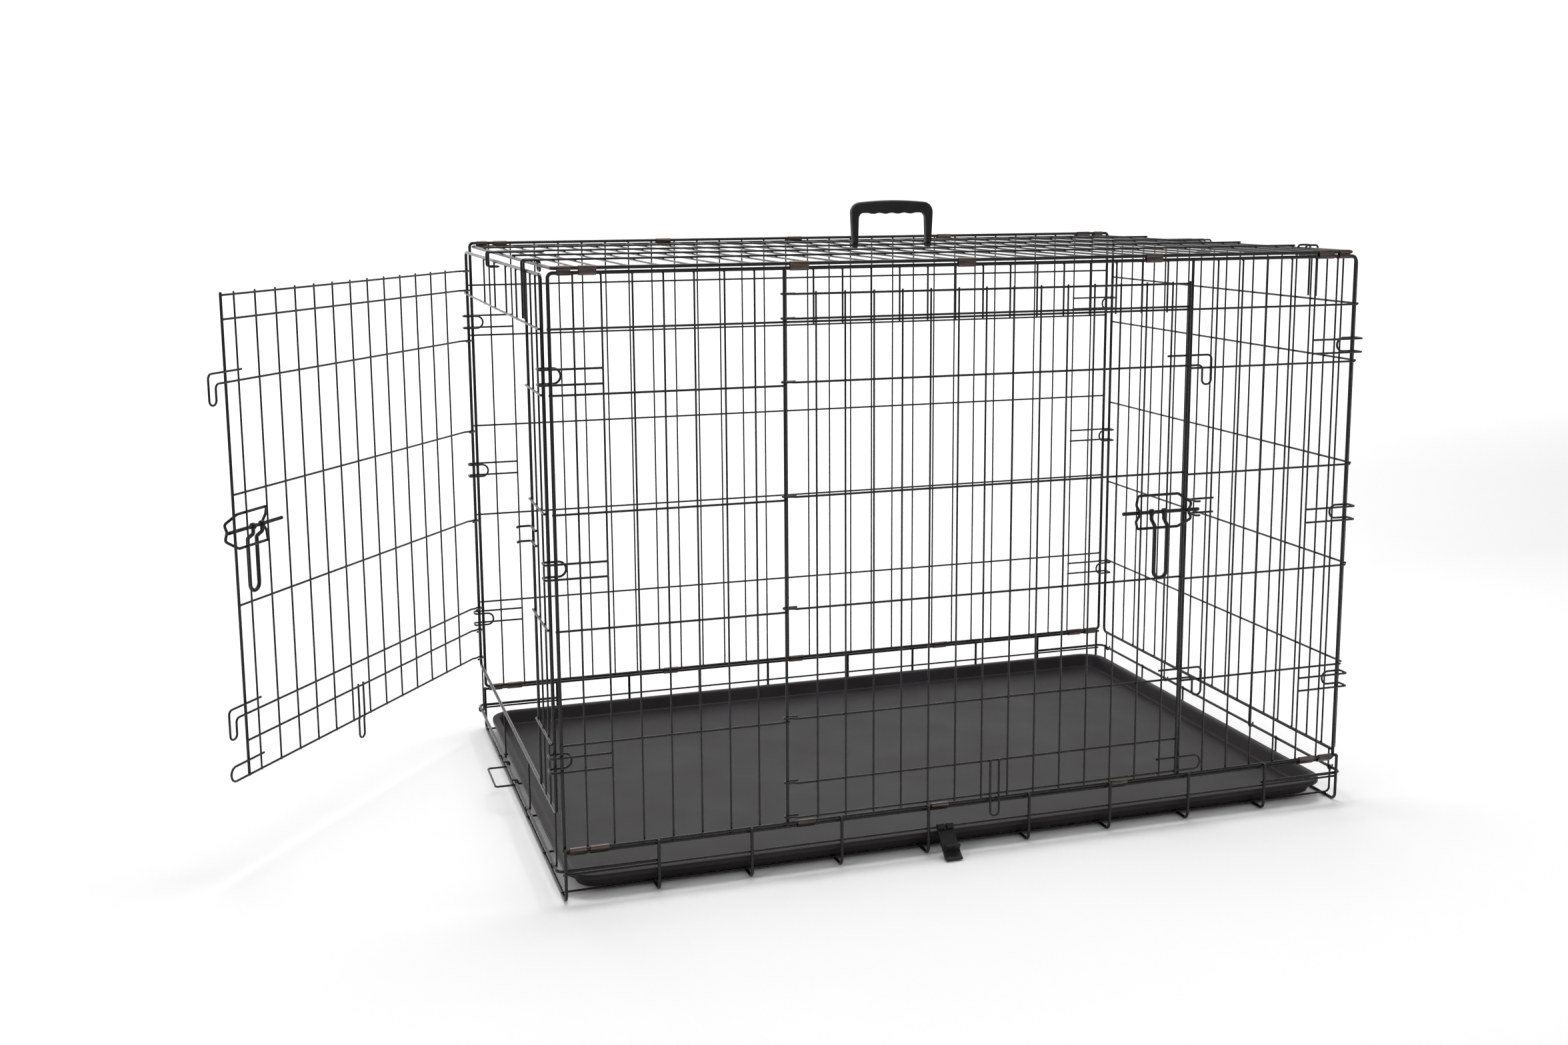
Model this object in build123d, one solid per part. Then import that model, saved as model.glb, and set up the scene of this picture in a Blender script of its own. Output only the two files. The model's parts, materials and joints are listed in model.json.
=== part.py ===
from build123d import *
from math import hypot, radians, tan
import os

# Wire dog crate, millimetres. Origin: bottom centre of the base. X runs along the crate,
# the long front side with a door faces -Y, the door in the end faces -X, Z is up.

# ---- wire radii ---------------------------------------------------------------------------
UPRIGHT_R = 1.2
CROSS_R = 1.4
FRAME_R = 2.2
JAMB_R = 1.8
BASE_R = 2.0
GUIDE_R = 1.8
BOLT_R = 2.4
GRIP_R = 2.5
WELD = 0.02                  # hairline left between two wires that are welded together
RUNNING = 0.15               # clearance of a wire eye on the wire it turns on
BUTT = FRAME_R + WELD        # how far an upright stops short of a frame wire's axis

# ---- long panels --------------------------------------------------------------------------
PANEL_X = 533.0              # frame uprights of the long panels
PANEL_Y = 344.0              # plane of the long panels' frames
PANEL_H = 688.0              # from hinge rail to hinge rail
FRONT_Z = 59.0               # bottom hinge rail of the front panel
BACK_Z = 70.0                # the back panel sits this much higher, above its rail
CORNER_R = 5.5               # bend of the frames' corners
OPEN_X = 254.5               # hinge side of the front doorway
PITCH = 36.3                 # spacing of the uprights beside the doorway
MID_PITCH = 2 * OPEN_X / 14  # spacing of the uprights over it
OUTER_X = 505.0              # last upright before the frame
LEVELS = [135.0, 273.2, 411.3, 549.5]    # cross wires, measured up from the bottom rail
HEADER_LEVEL = 625.0         # header wire, measured the same way
JAMB_X = OPEN_X + PITCH
UPRIGHT_Y = PANEL_Y + FRAME_R - UPRIGHT_R
JAMB_Y = PANEL_Y + FRAME_R - JAMB_R
CROSS_Y = PANEL_Y + FRAME_R + CROSS_R + WELD
STUB = 3.0                   # how far a cross wire runs past the frame

# ---- end panels ---------------------------------------------------------------------------
END_X = 540.0                # plane of the end panels' frames
END_Y = 336.2                # their frame uprights
END_TOP = 745.0
END_BEND = 8.0
RIGHT_SILL = 67.0
LEFT_SILL = 108.0
END_PITCH = 36.0
END_UPRIGHT_X = END_X + FRAME_R - UPRIGHT_R
END_CROSS_X = END_X + FRAME_R + CROSS_R + WELD
END_HEADER_Z = 684.0
LEFT_JAMB_Y = -231.0
LEFT_STRIP_Y = [-270.0, -306.0]
LEFT_OVER_DOOR_Y = [131.0, 28.0, -74.0, -160.0]

# ---- base ---------------------------------------------------------------------------------
HINGE_RAIL_Y = 348.6
HINGE_RAIL_Z = 64.5
LOOP_X = [70.0, 186.5, 303.3, 420.0, 533.5]
LOOP_Y = HINGE_RAIL_Y + 2 * BASE_R + WELD
LOOP_BEND = 9.0
FLOOR_Y = [66.0, 198.0, 330.0]
FLOOR_Z = 2 * BASE_R + CROSS_R + WELD
MID_RAIL_Y = LOOP_Y - BASE_R - CROSS_R - WELD
MID_RAIL_Z = 34.5
END_RAIL_X = 543.0
END_RAIL_Z = 39.0
END_RAIL_REACH = 418.0       # the end rails run back along the sides to here
UPTURN_TOP = 44.0

# ---- top ----------------------------------------------------------------------------------
TOP_Z = 752.5
TOP_BACK_Y = HINGE_RAIL_Y
TOP_X = 528.2                # end wires, inside the uprights of the back panel
TOP_SHIFT = 3.4              # the cross wires pass beside the back panel's uprights
TOP_CROSS_Z = TOP_Z + FRAME_R - UPRIGHT_R
TOP_LONG_Z = TOP_Z + FRAME_R + CROSS_R + WELD
TOP_LONG_Y = [-206.4, -68.8, 68.8, 206.4]

# ---- hinge clips --------------------------------------------------------------------------
CLIP_BORE_R = 2.3
CLIP_SHEET = 0.7
CLIP_OUTER = (507.0, 527.5)
FRONT_CLIPS = [(-502.5, -480.0), (-243.0, -220.0), (-65.0, -42.0), (189.5, 212.5), (476.0, 500.0)]
BACK_CLIPS = [(-499.0, -476.0), (-247.0, -224.0), (-34.0, -11.0), (222.5, 245.5), (476.0, 499.0)]
TOP_CLIPS = [(-498.0, -477.5), (-247.0, -224.0), (-33.0, -10.0), (223.0, 246.0), (476.0, 499.0)]
TOP_CLIP_OUTER = (507.0, 522.5)

# ---- spring catches -----------------------------------------------------------------------
CATCH_FROM_X = 472.3
CATCH_OUT_X = 547.0
CATCH_IN_Y = 331.2
CATCH_TIP_X = 519.1
CATCH_LOOP_X = 530.0         # where the round loop at the tip begins
CATCH_PAIR = 17.9
CATCH_LEVELS = [561.5, 335.3, 102.5]     # lower wire of each pair, up from the bottom rail
CATCH_BEND = 3.0
TOP_CATCH_TIP_X = 533.0      # tip of the hairpin on the top, hooked round the end panel's top wire

# ---- doors --------------------------------------------------------------------------------
DOOR_TOP = 717.0
DOOR_LEVELS = [688.0, 612.5, 474.5, 336.5, 198.5]
FRONT_DOOR_FEET = [116.0, 71.5]
LEFT_DOOR_FEET = [164.0, 120.0]
FRONT_DOOR_EDGE = 536.0
LEFT_DOOR_EDGE = 560.0
LEFT_DOOR_OPEN = 37.0        # degrees the end door stands open
EYE_START = 14.0             # where a cross wire begins to bend round the hinge upright
EYE_TAIL = 14.5
EYE_BEND = 2.4
HOOK_REACH = 36.0            # how far the L hooks stand past the door's edge
HOOK_DROP = 25.0
HOOK_LEG = 13.0
HOOK_BEND = 6.0
STOP_REACH = 38.5            # the same for the loop at the foot
STOP_GAP = 18.7
TAB_WIDTH = 12.0
TAB_STEP_OUT = 1.1           # below the door the tab stands out, clear of the base when folding
TAB_STEP_Z = (2.0, 6.5)      # start and finish of that step, below the lowest cross wire
BOLT_Z = 426.5
BOLT_OUT = 9.2               # bolt's axis, out from the cross wires
BOLT_LENGTH = 111.0
BOLT_PAST_EDGE = 19.5        # reach of the extended bolt past the door's edge
BOLT_TRAVEL = 12.0
GUIDE_FROM_EDGE = (67.5, 9.5)
GUIDE_HALF = 21.5
GUIDE_PINCH = 10.5           # half height where the guide closes in on the bolt
GUIDE_BEND = 2.6
GRIP_BACK = (69.0, 51.0)     # the grip's two collars, back from the bolt's tip
GRIP_OUT = 9.0
GRIP_LOW_Z = 342.0
GRIP_BEND = 4.0
COLLAR_WIDE = 5.0
COLLAR_WALL = 2.0
KEEPER_Z = [437.4, 419.0]
KEEPER_OUT = 17.0


def rod(a, b, r):
    """Straight wire with its axis from a to b."""
    a, b = Vector(*a), Vector(*b)
    return Solid.make_cylinder(r, (b - a).length, Plane(a, z_dir=(b - a).normalized()))


def elbow(before, corner, after, r, bend):
    """Bend of a wire at a corner; gives the two points where it meets the straights."""
    into = (corner - before).normalized()
    out = (after - corner).normalized()
    turn = into.get_angle(out)
    reach = bend * tan(radians(turn / 2))
    start = corner - into * reach
    end = corner + out * reach
    side = (out - into * out.dot(into)).normalized()
    centre = start + side * bend
    ring = Plane(centre, x_dir=side * -1, z_dir=into.cross(out).normalized())
    return start, end, Solid.make_torus(bend, r, ring, major_angle=turn)


def wire(points, r, bend, closed=False):
    """Bent wire through the given corners, as straight lengths and elbows end to end."""
    points = [Vector(*p) for p in points]
    count = len(points)
    corners = range(count) if closed else range(1, count - 1)
    pieces = []
    starts = {}
    ends = {}
    for i in corners:
        start, end, piece = elbow(points[i - 1], points[i], points[(i + 1) % count], r, bend)
        ends[i] = start
        starts[i] = end
        pieces.append(piece)
    for i in range(count if closed else count - 1):
        j = (i + 1) % count
        a = starts.get(i, points[i])
        b = ends.get(j, points[j])
        if (b - a).length > 0.05:
            pieces.append(rod(tuple(a), tuple(b), r))
    return pieces


def mirrored_x(solids):
    return [s.mirror(Plane.YZ) for s in solids]


def mirrored_y(solids):
    return [s.mirror(Plane.XZ) for s in solids]


nodes = {}


def add(name, solids):
    nodes.setdefault(name, []).extend(solids)


def both(values):
    return [-v for v in reversed(values)] + list(values)


SIDE_X = [OPEN_X + PITCH * k for k in range(1, 7)] + [OUTER_X]
OVER_DOOR_X = [-OPEN_X + MID_PITCH * k for k in range(1, 15)]
MIDDLE_X = [-OPEN_X + MID_PITCH * k for k in range(15)]


# ---- base ---------------------------------------------------------------------------------
for x in both(LOOP_X):
    top = HINGE_RAIL_Z + 1.5
    loop = [(x, -LOOP_Y, top), (x, -LOOP_Y, BASE_R), (x, LOOP_Y, BASE_R), (x, LOOP_Y, top)]
    add("base_floor_loops", wire(loop, BASE_R, LOOP_BEND))

UPTURN_X = END_RAIL_X - BASE_R - CROSS_R - WELD
for y in both(FLOOR_Y):
    run = [(-PANEL_X - STUB, y, FLOOR_Z), (UPTURN_X, y, FLOOR_Z), (UPTURN_X, y, UPTURN_TOP)]
    add("base_floor_long_wires", wire(run, CROSS_R, 6.0))

RAIL_END = LOOP_X[-1] + BASE_R + 0.5
for side in (-1, 1):
    add("base_mid_rails", [rod((-RAIL_END, side * MID_RAIL_Y, MID_RAIL_Z),
                               (RAIL_END, side * MID_RAIL_Y, MID_RAIL_Z), CROSS_R)])
    add("base_hinge_rails", [rod((-RAIL_END, side * HINGE_RAIL_Y, HINGE_RAIL_Z),
                                 (RAIL_END, side * HINGE_RAIL_Y, HINGE_RAIL_Z), BASE_R)])
    end_rail = [(side * END_RAIL_REACH, -HINGE_RAIL_Y, END_RAIL_Z),
                (side * END_RAIL_X, -HINGE_RAIL_Y, END_RAIL_Z),
                (side * END_RAIL_X, HINGE_RAIL_Y, END_RAIL_Z),
                (side * END_RAIL_REACH, HINGE_RAIL_Y, END_RAIL_Z)]
    add("base_left_end_rail" if side < 0 else "base_right_end_rail", wire(end_rail, BASE_R, 8.0))


def clip(x_from, x_to, first, second):
    """Sheet sleeve round two parallel rails, given as (y, z) pairs."""
    dy, dz = second[0] - first[0], second[1] - first[1]
    apart = hypot(dy, dz)
    middle = (x_from, (first[0] + second[0]) / 2, (first[1] + second[1]) / 2)
    section = Plane(middle, x_dir=(0, dy, dz), z_dir=(1, 0, 0))
    outer = SlotCenterToCenter(apart, 2 * (CLIP_BORE_R + CLIP_SHEET))
    inner = SlotCenterToCenter(apart, 2 * CLIP_BORE_R)
    return extrude(section * (outer - inner), amount=x_to - x_from).solids()


def clip_row(name, spans, outer, first, second):
    for x_from, x_to in spans + [(-outer[1], -outer[0]), outer]:
        add(name, clip(x_from, x_to, first, second))


clip_row("base_hinge_clips", FRONT_CLIPS, CLIP_OUTER, (-PANEL_Y, FRONT_Z), (-HINGE_RAIL_Y, HINGE_RAIL_Z))
clip_row("base_hinge_clips", BACK_CLIPS, CLIP_OUTER, (PANEL_Y, BACK_Z), (HINGE_RAIL_Y, HINGE_RAIL_Z))


# ---- long panels --------------------------------------------------------------------------
def panel_frame(y, z):
    return wire([(-PANEL_X, y, z), (PANEL_X, y, z), (PANEL_X, y, z + PANEL_H),
                 (-PANEL_X, y, z + PANEL_H)], FRAME_R, CORNER_R, closed=True)


def full_upright(x, y, z, r):
    return rod((x, y, z + BUTT), (x, y, z + PANEL_H - BUTT), r)


def corner_catches(side, z):
    """Three spring catches at each end: a pair of wires wraps the end panel's upright."""
    made = []
    for level in CATCH_LEVELS:
        low = z + level
        high = low + CATCH_PAIR
        for z_wire in (low, high):
            made += wire([(CATCH_FROM_X, -CROSS_Y, z_wire), (CATCH_OUT_X, -CROSS_Y, z_wire),
                          (CATCH_OUT_X, -CATCH_IN_Y, z_wire), (CATCH_LOOP_X, -CATCH_IN_Y, z_wire)],
                         CROSS_R, CATCH_BEND)
        made += wire([(CATCH_LOOP_X, -CATCH_IN_Y, low), (CATCH_TIP_X, -CATCH_IN_Y, low),
                      (CATCH_TIP_X, -CATCH_IN_Y, high), (CATCH_LOOP_X, -CATCH_IN_Y, high)],
                     CROSS_R, CATCH_PAIR / 2)
    made += mirrored_x(made)
    return mirrored_y(made) if side > 0 else made


add("front_frame", panel_frame(-PANEL_Y, FRONT_Z))
add("front_door_hinge_upright", [full_upright(-OPEN_X, -JAMB_Y, FRONT_Z, JAMB_R)])
add("front_door_jamb", [full_upright(JAMB_X, -JAMB_Y, FRONT_Z, JAMB_R)])
for x in [-v for v in SIDE_X] + SIDE_X[1:]:
    add("front_uprights", [full_upright(x, -UPRIGHT_Y, FRONT_Z, UPRIGHT_R)])
for x in OVER_DOOR_X:
    add("front_header_uprights", [rod((x, -UPRIGHT_Y, FRONT_Z + HEADER_LEVEL - STUB),
                                      (x, -UPRIGHT_Y, FRONT_Z + PANEL_H - BUTT), UPRIGHT_R)])
PAST_FRAME = PANEL_X + STUB
PAST_HINGE = OPEN_X - JAMB_R
for level in LEVELS:
    z = FRONT_Z + level
    add("front_cross_wires", [rod((-PAST_FRAME, -CROSS_Y, z), (-PAST_HINGE, -CROSS_Y, z), CROSS_R)])
    add("front_cross_wires", [rod((JAMB_X - JAMB_R, -CROSS_Y, z), (PAST_FRAME, -CROSS_Y, z), CROSS_R)])
header = FRONT_Z + HEADER_LEVEL
add("front_cross_wires", [rod((-PAST_FRAME, -CROSS_Y, header), (PAST_FRAME, -CROSS_Y, header), CROSS_R)])
add("front_corner_catches", corner_catches(-1, FRONT_Z))

add("back_frame", panel_frame(PANEL_Y, BACK_Z))
for x in both(SIDE_X) + MIDDLE_X:
    add("back_uprights", [full_upright(x, UPRIGHT_Y, BACK_Z, UPRIGHT_R)])
for level in LEVELS + [HEADER_LEVEL]:
    z = BACK_Z + level
    add("back_cross_wires", [rod((-PAST_FRAME, CROSS_Y, z), (PAST_FRAME, CROSS_Y, z), CROSS_R)])
add("back_corner_catches", corner_catches(1, BACK_Z))


# ---- top ----------------------------------------------------------------------------------
add("top_frame", wire([(-TOP_X, -PANEL_Y, TOP_Z), (TOP_X, -PANEL_Y, TOP_Z),
                       (TOP_X, TOP_BACK_Y, TOP_Z), (-TOP_X, TOP_BACK_Y, TOP_Z)],
                      FRAME_R, CORNER_R, closed=True))
top_cross_x = [x - TOP_SHIFT for x in both(SIDE_X) + MIDDLE_X]
top_cross_x[0] += 2 * TOP_SHIFT
for x in top_cross_x:
    add("top_cross_wires", [rod((x, -PANEL_Y + BUTT, TOP_CROSS_Z), (x, TOP_BACK_Y - BUTT, TOP_CROSS_Z),
                                UPRIGHT_R)])
for y in TOP_LONG_Y:
    add("top_long_wires", [rod((-TOP_X - STUB, y, TOP_LONG_Z), (TOP_X + STUB, y, TOP_LONG_Z), CROSS_R)])
clip_row("top_hinge_clips", TOP_CLIPS, TOP_CLIP_OUTER, (-PANEL_Y, FRONT_Z + PANEL_H), (-PANEL_Y, TOP_Z))
clip_row("top_hinge_clips", TOP_CLIPS, TOP_CLIP_OUTER, (PANEL_Y, BACK_Z + PANEL_H), (TOP_BACK_Y, TOP_Z))

TOP_CATCH_Y = 39.0           # near wire of the hairpin that reaches over each end panel
TOP_CATCH_LOW = 737.0
hairpin = [(CATCH_FROM_X, TOP_CATCH_Y, TOP_LONG_Z), (CATCH_OUT_X, TOP_CATCH_Y, TOP_LONG_Z),
           (CATCH_OUT_X, TOP_CATCH_Y, TOP_CATCH_LOW), (TOP_CATCH_TIP_X, TOP_CATCH_Y, TOP_CATCH_LOW),
           (TOP_CATCH_TIP_X, TOP_CATCH_Y + CATCH_PAIR, TOP_CATCH_LOW),
           (CATCH_OUT_X, TOP_CATCH_Y + CATCH_PAIR, TOP_CATCH_LOW),
           (CATCH_OUT_X, TOP_CATCH_Y + CATCH_PAIR, TOP_LONG_Z),
           (CATCH_FROM_X, TOP_CATCH_Y + CATCH_PAIR, TOP_LONG_Z)]
hairpin = wire(hairpin, CROSS_R, CATCH_BEND)
add("top_end_catches", hairpin + mirrored_x(hairpin))


# ---- end panels ---------------------------------------------------------------------------
def end_frame(x, sill):
    return wire([(x, -END_Y, sill), (x, END_Y, sill), (x, END_Y, END_TOP), (x, -END_Y, END_TOP)],
                FRAME_R, END_BEND, closed=True)


HOOK_RING = BASE_R + RUNNING + UPRIGHT_R


def rail_hook(y, sill):
    """Hook at the foot of an end panel, round the end rail; drawn for the right end."""
    inside = END_RAIL_X - HOOK_RING
    outside = END_RAIL_X + HOOK_RING
    under = END_RAIL_Z - HOOK_RING
    path = [(inside, y, sill - BUTT), (inside, y, under), (outside, y, under), (outside, y, END_RAIL_Z + 3.0)]
    return wire(path, UPRIGHT_R, HOOK_RING)


ARCH_TOP = 757.6
ARCH_Y = -243.0
ARCH_IN_X = 524.4            # inner leg, just inside the end wire of the top
ARCH_IN_Z = TOP_Z - 8.0
ARCH_FOOT_Z = END_HEADER_Z + 4.0


def top_arch(x):
    """Spring catch of an end panel that reaches over the end wire of the top."""
    outside = x + FRAME_R + CROSS_R + WELD
    near, far = ARCH_Y, ARCH_Y + CATCH_PAIR
    path = [(outside, near, ARCH_FOOT_Z), (outside, near, ARCH_TOP), (ARCH_IN_X, near, ARCH_TOP),
            (ARCH_IN_X, near, ARCH_IN_Z), (ARCH_IN_X, far, ARCH_IN_Z), (ARCH_IN_X, far, ARCH_TOP),
            (outside, far, ARCH_TOP), (outside, far, ARCH_FOOT_Z)]
    return wire(path, CROSS_R, 4.0)


add("right_end_frame", end_frame(END_X, RIGHT_SILL))
RIGHT_UPRIGHT_Y = [END_PITCH * (k - 8.5) for k in range(18)]
for y in RIGHT_UPRIGHT_Y:
    add("right_end_uprights", [rod((END_UPRIGHT_X, y, RIGHT_SILL + BUTT), (END_UPRIGHT_X, y, END_TOP - BUTT),
                                   UPRIGHT_R)])
END_REACH = END_Y + FRAME_R - 0.2
for z in [FRONT_Z + level for level in LEVELS] + [END_HEADER_Z]:
    add("right_end_cross_wires", [rod((END_CROSS_X, -END_REACH, z), (END_CROSS_X, END_REACH, z), CROSS_R)])
for y in both([126.0, 326.0]):
    add("right_end_rail_hooks", rail_hook(y, RIGHT_SILL))
add("right_end_top_catch", top_arch(END_X))

add("left_end_frame", end_frame(-END_X, LEFT_SILL))
LEFT_JAMB_X = END_X + FRAME_R - JAMB_R
add("left_door_jamb", [rod((-LEFT_JAMB_X, LEFT_JAMB_Y, LEFT_SILL + BUTT),
                           (-LEFT_JAMB_X, LEFT_JAMB_Y, END_TOP - BUTT), JAMB_R)])
for y in LEFT_STRIP_Y:
    add("left_end_uprights", [rod((-END_UPRIGHT_X, y, LEFT_SILL + BUTT),
                                  (-END_UPRIGHT_X, y, END_TOP - BUTT), UPRIGHT_R)])
for y in LEFT_OVER_DOOR_Y:
    add("left_end_uprights", [rod((-END_UPRIGHT_X, y, END_HEADER_Z - STUB),
                                  (-END_UPRIGHT_X, y, END_TOP - BUTT), UPRIGHT_R)])
for z in [FRONT_Z + level for level in LEVELS]:
    add("left_end_cross_wires", [rod((-END_CROSS_X, -END_REACH, z), (-END_CROSS_X, LEFT_JAMB_Y + JAMB_R, z),
                                     CROSS_R)])
add("left_end_cross_wires", [rod((-END_CROSS_X, -END_REACH, END_HEADER_Z),
                                 (-END_CROSS_X, END_REACH, END_HEADER_Z), CROSS_R)])
for y in (-326.0, -126.0, 90.0, 326.0):
    add("left_end_rail_hooks", mirrored_x(rail_hook(y, LEFT_SILL)))
add("left_end_top_catch", mirrored_x(top_arch(END_X)))


# ---- doors --------------------------------------------------------------------------------
def door(face, pin_r, edge, first, pitch, count, feet, tab_at, tab_drop, bolt_back):
    """Wire door with its hinge axis at the origin, closed along +X, outer face towards -Y.

    face is how far the cross wires stand out from the hinge axis.
    """
    made = {}
    uprights_y = -face - CROSS_R - UPRIGHT_R - WELD
    edge_y = -face - CROSS_R - JAMB_R - WELD
    last = first + pitch * (count - 1)
    levels = [DOOR_TOP] + DOOR_LEVELS + feet
    ring = pin_r + RUNNING + CROSS_R
    made["uprights"] = []
    for k in range(count):
        x = first + pitch * k
        made["uprights"].append(rod((x, uprights_y, feet[-1] - STUB), (x, uprights_y, DOOR_TOP + STUB),
                                    UPRIGHT_R))
    made["edge_wire"] = [rod((edge, edge_y, feet[-1] - STUB), (edge, edge_y, DOOR_TOP + STUB), JAMB_R)]
    made["cross_wires"] = []
    made["hinge_eyes"] = []
    for z in levels:
        made["cross_wires"].append(rod((EYE_START, -face, z), (edge + JAMB_R, -face, z), CROSS_R))
        eye = [(EYE_START, -face, z), (EYE_START - 2.0, -face, z), (EYE_START - 8.0, -ring, z),
               (-ring, -ring, z), (-ring, ring, z), (EYE_TAIL, ring, z)]
        made["hinge_eyes"] += wire(eye[:4], CROSS_R, EYE_BEND)[:-1]
        made["hinge_eyes"] += wire(eye[2:], CROSS_R, ring)
    # upper and lower L hooks, the stop loop at the foot and the tab under the door
    hook_y = -face
    made["hooks"] = []
    beyond = edge + JAMB_R + 0.05
    for z in (DOOR_LEVELS[1], DOOR_LEVELS[4]):
        far = edge + HOOK_REACH
        near = far - HOOK_LEG
        path = [(last + 2.0, hook_y, z + HOOK_LEG), (far, hook_y, z + HOOK_LEG), (far, hook_y, z - HOOK_DROP),
                (near, hook_y, z - HOOK_DROP), (near, hook_y, z), (beyond, hook_y, z)]
        made["hooks"] += wire(path, CROSS_R, HOOK_BEND)
    far = edge + STOP_REACH
    path = [(last - 3.0, hook_y, feet[-1] + STOP_GAP), (far, hook_y, feet[-1] + STOP_GAP),
            (far, hook_y, feet[-1]), (beyond, hook_y, feet[-1])]
    made["hooks"] += wire(path, CROSS_R, STOP_GAP / 2)
    tab_y = -face - 2 * CROSS_R - WELD
    leg = [(tab_y, feet[0] + 2.0), (tab_y, feet[-1] - TAB_STEP_Z[0]),
           (tab_y - TAB_STEP_OUT, feet[-1] - TAB_STEP_Z[1]), (tab_y - TAB_STEP_OUT, tab_drop)]
    tab = [(tab_at, y, z) for y, z in leg] + [(tab_at + TAB_WIDTH, y, z) for y, z in reversed(leg)]
    made["hooks"] += wire(tab, CROSS_R, TAB_WIDTH / 2)
    # guide of the sliding bolt, a closed wire whose two sides stand out over the bolt
    flat = uprights_y - UPRIGHT_R - GUIDE_R - WELD
    bolt_y = -face - BOLT_OUT
    proud = bolt_y - BOLT_R - GUIDE_R - 0.6
    left, right = (edge - back for back in GUIDE_FROM_EDGE)
    high, low = BOLT_Z + GUIDE_HALF, BOLT_Z - GUIDE_HALF
    above, below = BOLT_Z + GUIDE_PINCH, BOLT_Z - GUIDE_PINCH
    loop = [(left, flat, high), (right, flat, high), (right + 15.0, proud, above),
            (right + 10.5, proud, BOLT_Z), (right + 15.0, proud, below), (right, flat, low),
            (left, flat, low), (left - 5.5, proud + 2.5, below), (left - 0.5, proud, BOLT_Z),
            (left - 5.5, proud + 2.5, above)]
    made["guide"] = wire(loop, GUIDE_R, GUIDE_BEND, closed=True)
    tip = edge + BOLT_PAST_EDGE - bolt_back
    made["rod"] = [rod((tip - BOLT_LENGTH, bolt_y, BOLT_Z), (tip, bolt_y, BOLT_Z), BOLT_R)]
    # grip: two collars round the bolt and a U of thicker wire hanging from them
    grip_x = [tip - back for back in GRIP_BACK]
    grip = []
    for x in grip_x:
        collar = Plane((x - COLLAR_WIDE / 2, bolt_y, BOLT_Z), z_dir=(1, 0, 0))
        ring_face = collar * (Circle(BOLT_R + COLLAR_WALL) - Circle(BOLT_R + 0.1))
        grip += extrude(ring_face, amount=COLLAR_WIDE).solids()
    under = BOLT_Z - BOLT_R - COLLAR_WALL - WELD
    out = bolt_y - GRIP_OUT
    half = (grip_x[1] - grip_x[0]) / 2
    turn = GRIP_LOW_Z + half + 1.0
    for x in grip_x:
        grip += wire([(x, bolt_y, under), (x, bolt_y, under - 5.0), (x, out, under - 12.0), (x, out, turn)],
                     GRIP_R, GRIP_BEND)
    grip += wire([(grip_x[0], out, turn), (grip_x[0], out, GRIP_LOW_Z), (grip_x[1], out, GRIP_LOW_Z),
                  (grip_x[1], out, turn)], GRIP_R, half)
    made["grip"] = grip
    return made


def hang(prefix, made, place):
    names = {"uprights": "_door_uprights", "edge_wire": "_door_edge_wire", "cross_wires": "_door_cross_wires",
             "hinge_eyes": "_door_hinge_eyes", "hooks": "_door_hooks", "guide": "_bolt_guide",
             "rod": "_bolt_rod", "grip": "_bolt_handle"}
    for key, solids in made.items():
        add(prefix + names[key], [s.moved(place) for s in solids])


front_face = 351.0 - JAMB_Y
hang("front", door(front_face, JAMB_R, FRONT_DOOR_EDGE, 36.5, 36.55, 14, FRONT_DOOR_FEET, 268.5, 43.0, 0.0),
     Location((-OPEN_X, -JAMB_Y, 0)))
hang("left", door(7.0, FRAME_R, LEFT_DOOR_EDGE, 45.0, 40.9, 13, LEFT_DOOR_FEET, 305.0, 88.0, BOLT_TRAVEL),
     Location((-END_X, END_Y, 0), (0, 0, -90.0 - LEFT_DOOR_OPEN)))


def keeper(place):
    """Pair of wires on the jamb that the bolt's tip slides between, jamb axis at the origin."""
    made = []
    weld_y = -(CROSS_Y - JAMB_Y)
    for z in KEEPER_Z:
        path = [(PITCH + 2.0, weld_y, z), (3.0, weld_y, z), (3.0, weld_y - KEEPER_OUT, z),
                (9.0, weld_y - KEEPER_OUT, z)]
        made += wire(path, CROSS_R, 3.0)
    return [s.moved(place) for s in made]


add("front_bolt_keeper", keeper(Location((JAMB_X, -JAMB_Y, 0))))
add("left_bolt_keeper", keeper(Location((-LEFT_JAMB_X, LEFT_JAMB_Y, 0), (0, 0, -90.0))))


# ---- pan ----------------------------------------------------------------------------------
PAN_BOTTOM = 7.1
PAN_SHEET = 2.2
PAN_RIM_Z = 28.0
PAN_X = 528.5                # half length over the rim
PAN_Y = 345.0                # half width over the rim
PAN_RIM = 7.0                # width of the flared rim
PAN_DRAFT = 8.0              # how much the walls lean out
PAN_CORNER = 30.0


def tray(inset, z_low, z_high):
    """Solid block with leaning sides, inset from the outline of the pan's wall."""
    length = 2 * (PAN_X - PAN_RIM - inset)
    width = 2 * (PAN_Y - PAN_RIM - inset)
    low = Plane.XY.offset(z_low) * RectangleRounded(length - 2 * PAN_DRAFT, width - 2 * PAN_DRAFT,
                                                    PAN_CORNER - inset - PAN_DRAFT)
    high = Plane.XY.offset(z_high) * RectangleRounded(length, width, PAN_CORNER - inset)
    return loft([low.face(), high.face()])


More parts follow.
